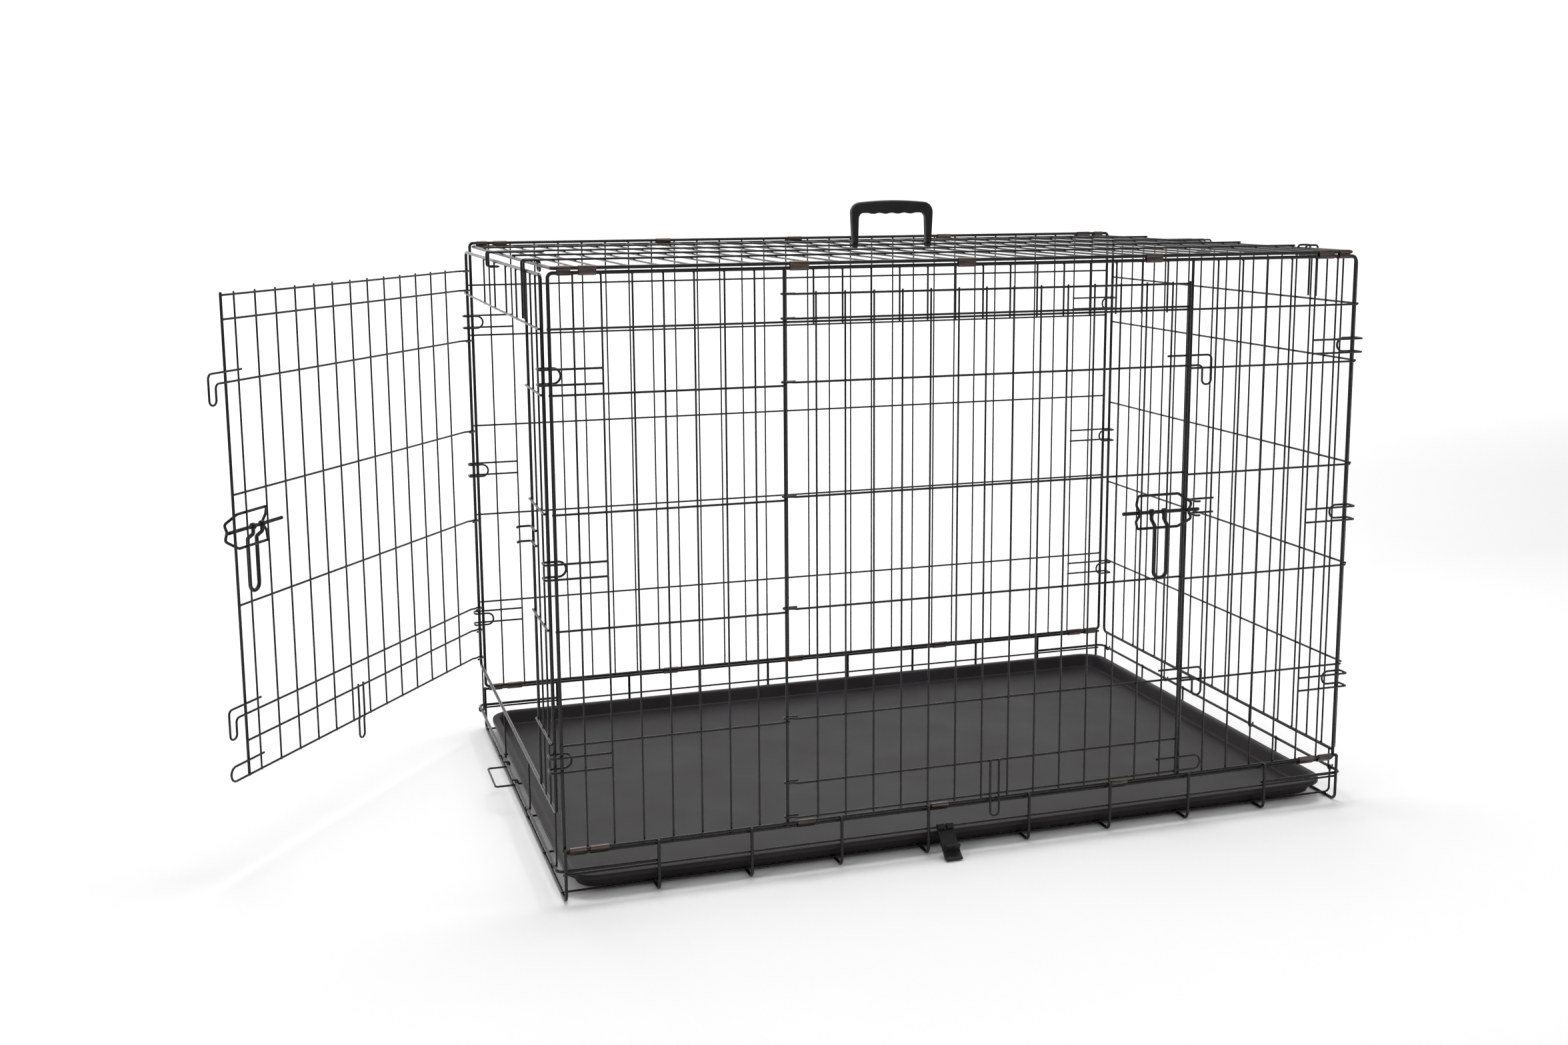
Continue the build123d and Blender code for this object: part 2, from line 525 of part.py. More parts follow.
body = tray(0, PAN_BOTTOM, PAN_RIM_Z) - tray(PAN_SHEET, PAN_BOTTOM + PAN_SHEET, PAN_RIM_Z)
rim_outer = RectangleRounded(2 * PAN_X, 2 * PAN_Y, PAN_CORNER + PAN_RIM)
rim_inner = RectangleRounded(2 * (PAN_X - PAN_RIM) - 1, 2 * (PAN_Y - PAN_RIM) - 1, PAN_CORNER - 0.5)
lip_inner = RectangleRounded(2 * (PAN_X - PAN_SHEET), 2 * (PAN_Y - PAN_SHEET),
                             PAN_CORNER + PAN_RIM - PAN_SHEET)
rim = extrude(Plane.XY.offset(PAN_RIM_Z - PAN_SHEET) * (rim_outer - rim_inner), amount=PAN_SHEET)
lip = extrude(Plane.XY.offset(PAN_RIM_Z - 6.0) * (rim_outer - lip_inner), amount=6.0)
add("pan", (body + rim + lip).solids())

STOP_RING = BASE_R + RUNNING + CROSS_R
stop_low = END_RAIL_Z - STOP_RING
stop_high = END_RAIL_Z + STOP_RING
stop_inside = -END_RAIL_X + STOP_RING
STOP_OUT_X = -570.0
STOP_TIP_X = -548.0
STOP_Y = [-21.0, 57.0]
stop_path = [(STOP_TIP_X, STOP_Y[0], stop_high), (stop_inside, STOP_Y[0], stop_high),
             (stop_inside, STOP_Y[0], stop_low), (STOP_OUT_X, STOP_Y[0], stop_low),
             (STOP_OUT_X, STOP_Y[1], stop_low), (stop_inside, STOP_Y[1], stop_low),
             (stop_inside, STOP_Y[1], stop_high), (STOP_TIP_X, STOP_Y[1], stop_high)]
add("pan_stop", wire(stop_path, CROSS_R, STOP_RING))


# ---- carrying handle ----------------------------------------------------------------------
HANDLE_X = 37.9
HANDLE_Y = TOP_LONG_Y[2]
HANDLE_HALF = 56.5           # from the middle to an eye
HANDLE_LEG = 8.0             # width of a leg at its eye
HANDLE_OUT = 63.5            # half width over the bow
HANDLE_IN = 51.0             # half width of the hand hole
HANDLE_TOP = 820.0
HANDLE_SHOULDER = 815.5      # height of the bow's outer corners
HANDLE_UNDER = 801.5         # underside of the grip
HANDLE_DEEP = 13.0
HANDLE_CORNERS = (13.0, 8.0) # outer and inner
BUMP_X = [-28.5, -9.5, 9.5, 28.5]
BUMP_R = 8.0
BUMP_Z = 808.0
EYE_R = 4.6
arch = Plane((HANDLE_X, HANDLE_Y + HANDLE_DEEP / 2, 0), x_dir=(1, 0, 0), z_dir=(0, -1, 0))
leg_half = HANDLE_LEG / 2
right_half = [(0, HANDLE_TOP), (HANDLE_OUT, HANDLE_SHOULDER), (HANDLE_OUT, 790.0),
              (HANDLE_HALF + leg_half, TOP_LONG_Z), (HANDLE_HALF - leg_half, TOP_LONG_Z),
              (HANDLE_IN, 790.0), (HANDLE_IN, HANDLE_UNDER)]
left_half = [(-x, z) for x, z in reversed(right_half[1:])]
bow = make_face(Polyline(*right_half, *left_half, close=True))
bow_solid = extrude(arch * bow, amount=HANDLE_DEEP)
for level, radius in zip((HANDLE_SHOULDER, HANDLE_UNDER), HANDLE_CORNERS):
    corners = bow_solid.edges().filter_by(Axis.Y).filter_by_position(Axis.Z, level - 0.1, level + 0.1)
    bow_solid = fillet(corners, radius)
for x in BUMP_X:
    bump = Cylinder(BUMP_R, HANDLE_DEEP - 3.0, rotation=(90, 0, 0))
    bow_solid += bump.moved(Location((HANDLE_X + x, HANDLE_Y, BUMP_Z)))
for side in (-1, 1):
    eye_at = Location((HANDLE_X + side * HANDLE_HALF, HANDLE_Y, TOP_LONG_Z))
    trim = Box(2 * leg_half + 2, HANDLE_DEEP + 2, 9.0)
    bow_solid -= trim.moved(eye_at)
    bow_solid += Cylinder(EYE_R, 2 * leg_half, rotation=(0, 90, 0)).moved(eye_at)
    bow_solid -= Cylinder(CROSS_R + RUNNING, 4 * leg_half, rotation=(0, 90, 0)).moved(eye_at)
add("carry_handle", bow_solid.solids())


# ---- carry latch on the front of the base -------------------------------------------------
LATCH_X = (-57.0, -35.0)
LATCH_KNUCKLES = [(-57.0, -47.5), (-45.0, -35.0)]
LATCH_RING = 4.2
ring_at = (-MID_RAIL_Y, MID_RAIL_Z)
side_view = Plane((LATCH_X[0], 0, 0), x_dir=(0, 1, 0), z_dir=(1, 0, 0))
plate = make_face(Polyline((-350.5, 31.5), (-353.6, 29.4), (-378.5, 5.5), (-383.0, 5.0), (-383.0, 1.0),
                           (-374.5, 1.0), (-367.5, 9.5), (-352.0, 24.5), (-347.5, 30.5), close=True))
tab = make_face(Polyline((-369.0, 15.0), (-375.0, 20.5), (-378.0, 18.5), (-373.5, 10.0), close=True))
latch = extrude(side_view * (plate + tab), amount=LATCH_X[1] - LATCH_X[0])
for x_from, x_to in LATCH_KNUCKLES:
    knuckle = Plane((x_from, ring_at[0], ring_at[1]), z_dir=(1, 0, 0)) * Circle(LATCH_RING)
    latch += extrude(knuckle, amount=x_to - x_from)
bore = Plane((LATCH_X[0] - 5, ring_at[0], ring_at[1]), z_dir=(1, 0, 0)) * Circle(CROSS_R + RUNNING)
latch -= extrude(bore, amount=40.0)
gap_from, gap_to = LATCH_KNUCKLES[0][1], LATCH_KNUCKLES[1][0]
gap_at = Location(((gap_from + gap_to) / 2, ring_at[0], ring_at[1] + 1.0))
latch -= Box(gap_to - gap_from, 14.0, 12.0).moved(gap_at)
add("carry_latch", latch.solids())


os.makedirs("parts", exist_ok=True)
for name, solids in nodes.items():
    export_step(Compound(solids), "parts/" + name + ".step")
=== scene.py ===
import bpy
import bmesh
import json
from math import cos, hypot, pi, radians, sin, tan
from mathutils import Matrix, Vector


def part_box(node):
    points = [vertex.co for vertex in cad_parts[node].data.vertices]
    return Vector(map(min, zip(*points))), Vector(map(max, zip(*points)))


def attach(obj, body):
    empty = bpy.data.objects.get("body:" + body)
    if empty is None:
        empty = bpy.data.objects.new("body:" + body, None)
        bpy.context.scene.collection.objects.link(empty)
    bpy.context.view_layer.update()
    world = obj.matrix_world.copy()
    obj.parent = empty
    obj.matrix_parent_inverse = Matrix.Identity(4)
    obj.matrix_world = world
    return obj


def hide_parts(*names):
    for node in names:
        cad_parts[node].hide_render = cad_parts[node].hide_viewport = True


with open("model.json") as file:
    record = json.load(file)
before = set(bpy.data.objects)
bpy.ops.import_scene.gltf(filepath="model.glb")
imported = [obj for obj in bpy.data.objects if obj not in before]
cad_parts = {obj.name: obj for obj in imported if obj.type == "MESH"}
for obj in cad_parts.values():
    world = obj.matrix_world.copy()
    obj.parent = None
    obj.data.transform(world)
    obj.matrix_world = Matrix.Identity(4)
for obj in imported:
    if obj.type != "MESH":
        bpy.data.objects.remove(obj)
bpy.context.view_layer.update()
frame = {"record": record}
MM = 0.001

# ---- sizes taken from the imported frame, in millimetres ----------------------------------------
joints = {j["name"]: j for j in frame["record"]["behaviour"]["joints"]}


def box_mm(node):
    low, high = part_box(node)
    return [round(v * 1000, 3) for v in low], [round(v * 1000, 3) for v in high]


THIN, CROSS, FRAME, JAMB, BASE, GUIDE, BOLT, GRIP = 1.2, 1.4, 2.2, 1.8, 2.0, 1.8, 2.4, 2.5
front_low, front_high = box_mm("front_frame")
back_low, back_high = box_mm("back_frame")
top_high = box_mm("top_frame")[1]
end_low, end_high = box_mm("right_end_frame")
left_low = box_mm("left_end_frame")[0]
PANEL_X = front_high[0] - FRAME
PANEL_Y = back_high[1] - FRAME
FRONT_Z = front_low[2] + FRAME
BACK_Z = back_low[2] + FRAME
PANEL_H = front_high[2] - FRAME - FRONT_Z
END_X = end_high[0] - FRAME
END_Y = end_high[1] - FRAME
END_TOP = end_high[2] - FRAME
RIGHT_SILL = end_low[2] + FRAME
LEFT_SILL = left_low[2] + FRAME
TOP_Z = top_high[2] - FRAME
TOP_X = top_high[0] - FRAME
TOP_BACK_Y = top_high[1] - FRAME

OPEN_X = 254.5
PITCH = 36.3
MID_PITCH = 2 * OPEN_X / 14
JAMB_X = OPEN_X + PITCH
SIDE_X = [OPEN_X + PITCH * k for k in range(1, 7)] + [505.0]
LEVELS = [135.0, 273.2, 411.3, 549.5]
HEADER = 625.0
THIN_Y = PANEL_Y + FRAME - THIN
JAMB_Y = PANEL_Y + FRAME - JAMB
CROSS_Y = PANEL_Y + FRAME + CROSS
PAST = PANEL_X + 3.0
RAIL_Y = TOP_BACK_Y
RAIL_Z = 64.5
LOOP_Y = RAIL_Y + 2 * BASE
END_RAIL_X = abs(joints["right_end_fold"]["pos_m"][0]) * 1000
END_RAIL_Z = joints["right_end_fold"]["pos_m"][2] * 1000
LONG_Z = TOP_Z + FRAME + CROSS
EYE_CLEAR = 0.15


# ---- finishes ---------------------------------------------------------------------------------
def finish(name, colour, roughness, metallic=0.0, gloss=0.5):
    """New material; gives it, its nodes, its shader and an Object coordinate socket."""
    made = bpy.data.materials.new(name)
    made.use_nodes = True
    nodes = made.node_tree.nodes
    shader = nodes["Principled BSDF"]
    shader.inputs["Base Color"].default_value = (*colour, 1)
    shader.inputs["Roughness"].default_value = roughness
    shader.inputs["Metallic"].default_value = metallic
    shader.inputs["Specular IOR Level"].default_value = gloss
    place = nodes.new("ShaderNodeTexCoord").outputs["Object"]
    return made, nodes, made.node_tree.links, shader, place


def noise(nodes, links, place, scale, detail=3.0, stretch=None):
    """Noise at so many features a metre, drawn out along an axis if stretch is given."""
    if stretch:
        mapping = nodes.new("ShaderNodeMapping")
        mapping.inputs["Scale"].default_value = stretch
        links.new(place, mapping.inputs["Vector"])
        place = mapping.outputs["Vector"]
    made = nodes.new("ShaderNodeTexNoise")
    made.inputs["Scale"].default_value = scale
    made.inputs["Detail"].default_value = detail
    links.new(place, made.inputs["Vector"])
    return made.outputs["Fac"]


def spread(nodes, links, value, low, high, start=0.3, stop=0.7):
    """Noise value stretched to a range."""
    made = nodes.new("ShaderNodeMapRange")
    made.inputs["From Min"].default_value = start
    made.inputs["From Max"].default_value = stop
    made.inputs["To Min"].default_value = low
    made.inputs["To Max"].default_value = high
    links.new(value, made.inputs["Value"])
    return made.outputs["Result"]


def tint(nodes, links, value, dark, light):
    ramp = nodes.new("ShaderNodeValToRGB")
    ramp.color_ramp.elements[0].position = 0.35
    ramp.color_ramp.elements[1].position = 0.65
    ramp.color_ramp.elements[0].color = (*dark, 1)
    ramp.color_ramp.elements[1].color = (*light, 1)
    links.new(value, ramp.inputs["Fac"])
    return ramp.outputs["Color"]


def bump(nodes, links, shader, value, height, strength=1.0):
    made = nodes.new("ShaderNodeBump")
    made.inputs["Distance"].default_value = height
    made.inputs["Strength"].default_value = strength
    links.new(value, made.inputs["Height"])
    links.new(made.outputs["Normal"], shader.inputs["Normal"])


def black_coating():
    """Glossy black electro-coat: even, with slight flow marks and a little dust on it."""
    made, nodes, links, shader, place = finish("black_coating", (0.005, 0.005, 0.005), 0.26, gloss=0.35)
    patches = noise(nodes, links, place, 14.0)
    links.new(tint(nodes, links, patches, (0.003, 0.003, 0.003), (0.007, 0.007, 0.007)),
              shader.inputs["Base Color"])
    links.new(spread(nodes, links, noise(nodes, links, place, 160.0), 0.2, 0.32),
              shader.inputs["Roughness"])
    bump(nodes, links, shader, noise(nodes, links, place, 700.0, 2.0), 0.00006, 0.5)
    return made


def clip_steel():
    """Dark zinc-plated sheet of the crimped clips, brushed along its length."""
    made, nodes, links, shader, place = finish("clip_steel", (0.2, 0.15, 0.14), 0.3, metallic=0.9)
    streaks = noise(nodes, links, place, 500.0, 4.0, stretch=(0.06, 1, 1))
    links.new(tint(nodes, links, streaks, (0.05, 0.038, 0.033), (0.14, 0.11, 0.098)),
              shader.inputs["Base Color"])
    links.new(spread(nodes, links, streaks, 0.24, 0.42), shader.inputs["Roughness"])
    bump(nodes, links, shader, streaks, 0.00004, 0.4)
    return made


def moulded_black():
    """Moulded black plastic of the handle and the carrying latch, finely textured."""
    made, nodes, links, shader, place = finish("moulded_black", (0.008, 0.008, 0.009), 0.42, gloss=0.3)
    patches = noise(nodes, links, place, 60.0)
    links.new(tint(nodes, links, patches, (0.005, 0.005, 0.006), (0.011, 0.011, 0.012)),
              shader.inputs["Base Color"])
    grain = noise(nodes, links, place, 2200.0, 2.0)
    links.new(spread(nodes, links, grain, 0.36, 0.52), shader.inputs["Roughness"])
    bump(nodes, links, shader, grain, 0.00012, 0.6)
    return made


def pan_sheet():
    """Formed black plastic sheet of the pan: satin, slightly cloudy, with a fine leathery grain."""
    made, nodes, links, shader, place = finish("pan_sheet", (0.014, 0.014, 0.016), 0.5, gloss=0.2)
    clouds = noise(nodes, links, place, 9.0, 5.0)
    links.new(tint(nodes, links, clouds, (0.012, 0.010, 0.011), (0.022, 0.019, 0.021)),
              shader.inputs["Base Color"])
    links.new(spread(nodes, links, clouds, 0.42, 0.56), shader.inputs["Roughness"])
    bump(nodes, links, shader, noise(nodes, links, place, 900.0, 3.0), 0.00015, 0.5)
    return made


COATING = black_coating()
CLIP = clip_steel()
PLASTIC = moulded_black()
SHEET = pan_sheet()


# ---- geometry node trees ----------------------------------------------------------------------
def tree(name, sizes):
    """Empty geometry tree with the given float inputs, then whole-number Sides and a Coating."""
    made = bpy.data.node_groups.new(name, "GeometryNodeTree")
    made.interface.new_socket("Geometry", in_out="INPUT", socket_type="NodeSocketGeometry")
    for size in sizes:
        made.interface.new_socket(size, in_out="INPUT", socket_type="NodeSocketFloat")
    made.interface.new_socket("Sides", in_out="INPUT", socket_type="NodeSocketInt")
    made.interface.new_socket("Coating", in_out="INPUT", socket_type="NodeSocketMaterial")
    made.interface.new_socket("Geometry", in_out="OUTPUT", socket_type="NodeSocketGeometry")
    return made, made.nodes.new("NodeGroupInput").outputs, made.nodes.new("NodeGroupOutput").inputs


def realised(made, given, out, geometry):
    real = made.nodes.new("GeometryNodeRealizeInstances")
    paint = made.nodes.new("GeometryNodeSetMaterial")
    made.links.new(geometry, real.inputs["Geometry"])
    made.links.new(real.outputs["Geometry"], paint.inputs["Geometry"])
    made.links.new(given["Coating"], paint.inputs["Material"])
    made.links.new(paint.outputs["Geometry"], out["Geometry"])


def wire_tree():
    """Round wire along each spline, with its cut ends slightly domed by the coating."""
    made, given, out = tree("round_wire", ["Wire radius", "Dome height"])
    new, link = made.nodes.new, made.links.new
    ring = new("GeometryNodeCurvePrimitiveCircle")
    link(given["Sides"], ring.inputs["Resolution"])
    link(given["Wire radius"], ring.inputs["Radius"])
    tube = new("GeometryNodeCurveToMesh")
    tube.inputs["Fill Caps"].default_value = True
    link(given["Geometry"], tube.inputs["Curve"])
    link(ring.outputs["Curve"], tube.inputs["Profile Curve"])
    ends = new("GeometryNodeCurveEndpointSelection")
    cyclic = new("GeometryNodeInputSplineCyclic")
    cut = new("FunctionNodeBooleanMath")
    cut.operation = "NIMPLY"
    link(ends.outputs["Selection"], cut.inputs[0])
    link(cyclic.outputs["Cyclic"], cut.inputs[1])
    tangent = new("GeometryNodeInputTangent")
    turn = new("FunctionNodeAlignRotationToVector")
    turn.axis = "Z"
    link(tangent.outputs["Tangent"], turn.inputs["Vector"])
    dome = new("GeometryNodeMeshUVSphere")
    dome.inputs["Rings"].default_value = 4
    link(given["Sides"], dome.inputs["Segments"])
    link(given["Wire radius"], dome.inputs["Radius"])
    squash = new("ShaderNodeCombineXYZ")
    squash.inputs["X"].default_value = 0.97
    squash.inputs["Y"].default_value = 0.97
    link(given["Dome height"], squash.inputs["Z"])
    caps = new("GeometryNodeInstanceOnPoints")
    link(given["Geometry"], caps.inputs["Points"])
    link(cut.outputs["Boolean"], caps.inputs["Selection"])
    link(dome.outputs["Mesh"], caps.inputs["Instance"])
    link(turn.outputs["Rotation"], caps.inputs["Rotation"])
    link(squash.outputs["Vector"], caps.inputs["Scale"])
    join = new("GeometryNodeJoinGeometry")
    link(tube.outputs["Mesh"], join.inputs["Geometry"])
    link(caps.outputs["Instances"], join.inputs["Geometry"])
    realised(made, given, out, join.outputs["Geometry"])
    return made


def weld_tree():
    """Small lump of weld metal under the coating wherever two wires cross, each a little different."""
    made, given, out = tree("spot_weld", ["Weld radius", "Unevenness"])
    new, link = made.nodes.new, made.links.new
    lump = new("GeometryNodeMeshUVSphere")
    lump.inputs["Rings"].default_value = 5
    link(given["Sides"], lump.inputs["Segments"])
    link(given["Weld radius"], lump.inputs["Radius"])
    vary = new("FunctionNodeRandomValue")
    vary.data_type = "FLOAT"
    vary.inputs["Seed"].default_value = 7
    low = new("ShaderNodeMath")
    low.operation = "SUBTRACT"
    low.inputs[0].default_value = 1.0
    link(given["Unevenness"], low.inputs[1])
    high = new("ShaderNodeMath")
    high.operation = "ADD"
    high.inputs[0].default_value = 1.0
    link(given["Unevenness"], high.inputs[1])
    link(low.outputs["Value"], vary.inputs[2])
    link(high.outputs["Value"], vary.inputs[3])
    put = new("GeometryNodeInstanceOnPoints")
    link(given["Geometry"], put.inputs["Points"])
    link(lump.outputs["Mesh"], put.inputs["Instance"])
    link(vary.outputs[1], put.inputs["Scale"])
    realised(made, given, out, put.outputs["Instances"])
    return made


WIRE_TREE = wire_tree()
WELD_TREE = weld_tree()
WIRE_SIDES, WELD_SIDES = 12, 8


def placed(name, data):
    """New object in the scene."""
    made = bpy.data.objects.new(name, data)
    bpy.context.scene.collection.objects.link(made)
    return made


def run_tree(carrier, group, sizes, sides):
    """Plain mesh that a tree makes of the carrier; the carrier goes away."""
    modifier = carrier.modifiers.new("make", "NODES")
    modifier.node_group = group
    for item in group.interface.items_tree:
        if item.in_out != "INPUT":
            continue
        if item.name in sizes:
            modifier[item.identifier] = sizes[item.name]
        elif item.name == "Sides":
            modifier[item.identifier] = sides
        elif item.name == "Coating":
            modifier[item.identifier] = COATING
    carrier.update_tag()
    bpy.context.view_layer.update()
    seen = carrier.evaluated_get(bpy.context.evaluated_depsgraph_get())
    mesh = bpy.data.meshes.new_from_object(seen, preserve_all_data_layers=False)
    bpy.data.objects.remove(carrier)
    return mesh


def tube_mesh(paths, radius, dome):
    """Mesh of round wires along open or closed paths in millimetres."""
    curve = bpy.data.curves.new("wire_paths", "CURVE")
    curve.dimensions = "3D"
    for points, closed in paths:
        spline = curve.splines.new("POLY")
        spline.points.add(len(points) - 1)
        for at, point in zip(spline.points, points):
            at.co = (*(Vector(point) * MM), 1)
        spline.use_cyclic_u = closed
    carrier = placed("wire_paths", curve)
    sizes = {"Wire radius": radius * MM, "Dome height": dome}
    return run_tree(carrier, WIRE_TREE, sizes, WIRE_SIDES)


def weld_mesh(points, radius=1.45):
    """Mesh of weld lumps at points in millimetres."""
    cloud = bpy.data.meshes.new("weld_points")
    cloud.from_pydata([Vector(p) * MM for p in points], [], [])
    sizes = {"Weld radius": radius * MM, "Unevenness": 0.12}
    return run_tree(placed("weld_points", cloud), WELD_TREE, sizes, WELD_SIDES)


# ---- solid shapes -----------------------------------------------------------------------------
def skin(whole, rings, closed=False):
    """Faces between each ring of corners and the next; closed joins the last to the first."""
    for a, b in zip(rings, rings[1:] + rings[:1] if closed else rings[1:]):
        for k in range(len(a)):
            j = (k + 1) % len(a)
            whole.faces.new((a[k], a[j], b[j], b[k]))


def turned(whole, profile, centre, steps, place=Matrix()):
    """Ring turned about an axis along X through centre, from a closed profile of (x, radius)."""
    x, y, z = centre
    rings = []
    for k in range(steps):
        a = 2 * pi * k / steps
        spots = [place @ Vector((x + at, y + r * cos(a), z + r * sin(a))) for at, r in profile]
        rings.append([whole.verts.new(spot * MM) for spot in spots])
    skin(whole, rings, closed=True)


def finished(whole, name, material=None, angle=50):
    """Mesh with its faces turned outwards; smoothed if it gets a material of its own here."""
    bmesh.ops.recalc_face_normals(whole, faces=whole.faces)
    mesh = bpy.data.meshes.new(name)
    whole.to_mesh(mesh)
    whole.free()
    if material:
        mesh.materials.append(material)
        smooth_mesh(mesh, angle)
    return mesh


# ---- bending and placing wire -----------------------------------------------------------------
def bent(points, bend, closed=False, steps=7):
    """Centre line of a wire through corners, each rounded to the bend radius."""
    points = [Vector(p) for p in points]
    count = len(points)
    line = []
    for i, corner in enumerate(points):
        if not closed and i in (0, count - 1):
            line.append(corner)
            continue
        into = (corner - points[i - 1]).normalized()
        out = (points[(i + 1) % count] - corner).normalized()
        turn = into.angle(out)
        reach = bend * tan(turn / 2)
        start = corner - into * reach
        side = (out - into * out.dot(into)).normalized()
        centre = start + side * bend
        for k in range(steps + 1):
            a = turn * k / steps
            line.append(centre - side * bend * cos(a) + into * bend * sin(a))
    tidy = [line[0]]
    for point in line[1:]:
        if (point - tidy[-1]).length > 0.02:
            tidy.append(point)
    if closed and (tidy[0] - tidy[-1]).length < 0.02:
        tidy.pop()
    return tidy, closed


def hairpin(leg, ys, bend, steps=7):
    """Wire bent double: out along a leg given as (x, z) at the first y and back at the second."""
    near, far = ys
    return bent([(x, near, z) for x, z in leg] + [(x, far, z) for x, z in reversed(leg)], bend,
                steps=steps)


def straight(a, b):
    return [Vector(a), Vector(b)], False


def moved(paths, place):
    return [([place @ Vector(p) for p in points], closed) for points, closed in paths]


def flipped_x(paths):
    return moved(paths, Matrix.Scale(-1, 4, (1, 0, 0)))


def flipped_y(paths):
    return moved(paths, Matrix.Scale(-1, 4, (0, 1, 0)))


def both(values):
    return [-v for v in reversed(values)] + list(values)


def crossings(xs, zs, y):
    """Points in a panel's weld plane where its uprights meet its cross wires."""
    return [(x, y, z) for x in xs for z in zs]


pieces = {}


class Piece:
    """Wires of one body that become one object."""

    def __init__(self, name, body, nodes, slot="coated_wire"):
        self.body, self.nodes, self.slot = body, nodes, slot
        self.wires = {}
        self.welds = []
        self.meshes = []
        pieces[name] = self

    def wire(self, radius, *paths, dome=0.3):
        """Add wires of one radius; dome is the height of their cut ends in radii."""
        self.wires.setdefault((radius, dome), []).extend(paths)


def smooth_mesh(mesh, angle=50):
    mesh.shade_smooth()
    mesh.set_sharp_from_angle(angle=radians(angle))


def make_object(name, mesh, body, nodes):
    made = placed(name, mesh)
    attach(made, body)
    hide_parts(*nodes)
    return made


def joined(name, meshes, material):
    whole = bmesh.new()
    for mesh in meshes:
        whole.from_mesh(mesh)
    for face in whole.faces:
        face.material_index = 0
    made = bpy.data.meshes.new(name)
    whole.to_mesh(made)
    whole.free()
    made.materials.clear()
    made.materials.append(material)
    smooth_mesh(made)
    return made


# ---- base -------------------------------------------------------------------------------------
base = Piece("base_wires", "base", ["base_floor_loops", "base_floor_long_wires", "base_mid_rails",
                                    "base_hinge_rails", "base_left_end_rail", "base_right_end_rail"])
LOOP_X = [70.0, 186.5, 303.3, 420.0, 533.5]
MID_Z, UPTURN_TOP, RETURN_X = 34.5, 43.6, 418.0
for x in both(LOOP_X):
    up = RAIL_Z + 1.2
    u_loop = [(x, -LOOP_Y, up), (x, -LOOP_Y, BASE), (x, LOOP_Y, BASE), (x, LOOP_Y, up)]
    base.wire(BASE, bent(u_loop, 9.0))
UPTURN_X = END_RAIL_X - BASE - CROSS
FLOOR_Z = 2 * BASE + CROSS
MID_Y = LOOP_Y - BASE - CROSS
FLOOR_Y = [66.0, 198.0, 330.0]
for y in both(FLOOR_Y):
    upturned = [(-PAST, y, FLOOR_Z), (UPTURN_X, y, FLOOR_Z), (UPTURN_X, y, UPTURN_TOP)]
    base.wire(CROSS, bent(upturned, 6.0))
    base.welds += [(x, y, 2 * BASE) for x in both(LOOP_X)] + [(UPTURN_X + CROSS, y, END_RAIL_Z)]
for side in (-1, 1):
    end = LOOP_X[-1] + BASE + 0.5
    base.wire(CROSS, straight((-end, side * MID_Y, MID_Z), (end, side * MID_Y, MID_Z)))
    base.wire(BASE, straight((-end, side * RAIL_Y, RAIL_Z), (end, side * RAIL_Y, RAIL_Z)))
    rail = [(side * RETURN_X, -RAIL_Y, END_RAIL_Z), (side * END_RAIL_X, -RAIL_Y, END_RAIL_Z),
            (side * END_RAIL_X, RAIL_Y, END_RAIL_Z), (side * RETURN_X, RAIL_Y, END_RAIL_Z)]
    base.wire(BASE, bent(rail, 8.0))
    for x in both(LOOP_X):
        base.welds += [(x, side * (LOOP_Y - BASE), RAIL_Z), (x, side * (LOOP_Y - BASE), MID_Z)]
    for x in both(LOOP_X[-2:]):
        base.welds.append((x, side * (LOOP_Y - BASE), END_RAIL_Z))


# ---- crimped hinge clips ----------------------------------------------------------------------
def clip_mesh(whole, x_from, x_to, first, second):
    """Crimped sheet sleeve round two rails given as (y, z): rolled ends and a pinched waist."""
    bore, sheet, around = 2.3, 0.7, 10
    dy, dz = second[0] - first[0], second[1] - first[1]
    apart = hypot(dy, dz)
    uy, uz = dy / apart, dz / apart

    def outline(radius, pinch):
        points = []
        for centre, start in ((second, -pi / 2), (first, pi / 2)):
            for k in range(around + 1):
                a = start + pi * k / around
                along, across = radius * cos(a), radius * sin(a)
                points.append((centre[0] + along * uy - across * uz,
                               centre[1] + along * uz + across * uy))
            middle = ((first[0] + second[0]) / 2, (first[1] + second[1]) / 2)
            side = 1 if start < 0 else -1
            across = side * (radius - pinch)
            points.append((middle[0] - across * uz, middle[1] + across * uy))
        return points

    length = x_to - x_from
    outer = bore + sheet
    roll, waist = 0.25, 0.45
    stations = [(0.0, bore, 0.0), (0.0, outer - roll, 0.1), (roll, outer, 0.15),
                (length * 0.3, outer, waist), (length * 0.7, outer, waist),
                (length - roll, outer, 0.15), (length, outer - roll, 0.1), (length, bore, 0.0)]
    rings = []
    for at, radius, pinch in stations:
        rings.append([whole.verts.new(Vector((x_from + at, y, z)) * MM)
                      for y, z in outline(radius, pinch)])
    skin(whole, rings, closed=True)


def clips(name, body, nodes, rows):
    """All crimped clips of one body; rows are spans along X, the outermost span and two rails."""
    whole = bmesh.new()
    for spans, outer, first, second in rows:
        for x_from, x_to in spans + [(-outer[1], -outer[0]), outer]:
            clip_mesh(whole, x_from, x_to, first, second)
    make_object(name, finished(whole, name, CLIP, 35), body, nodes)


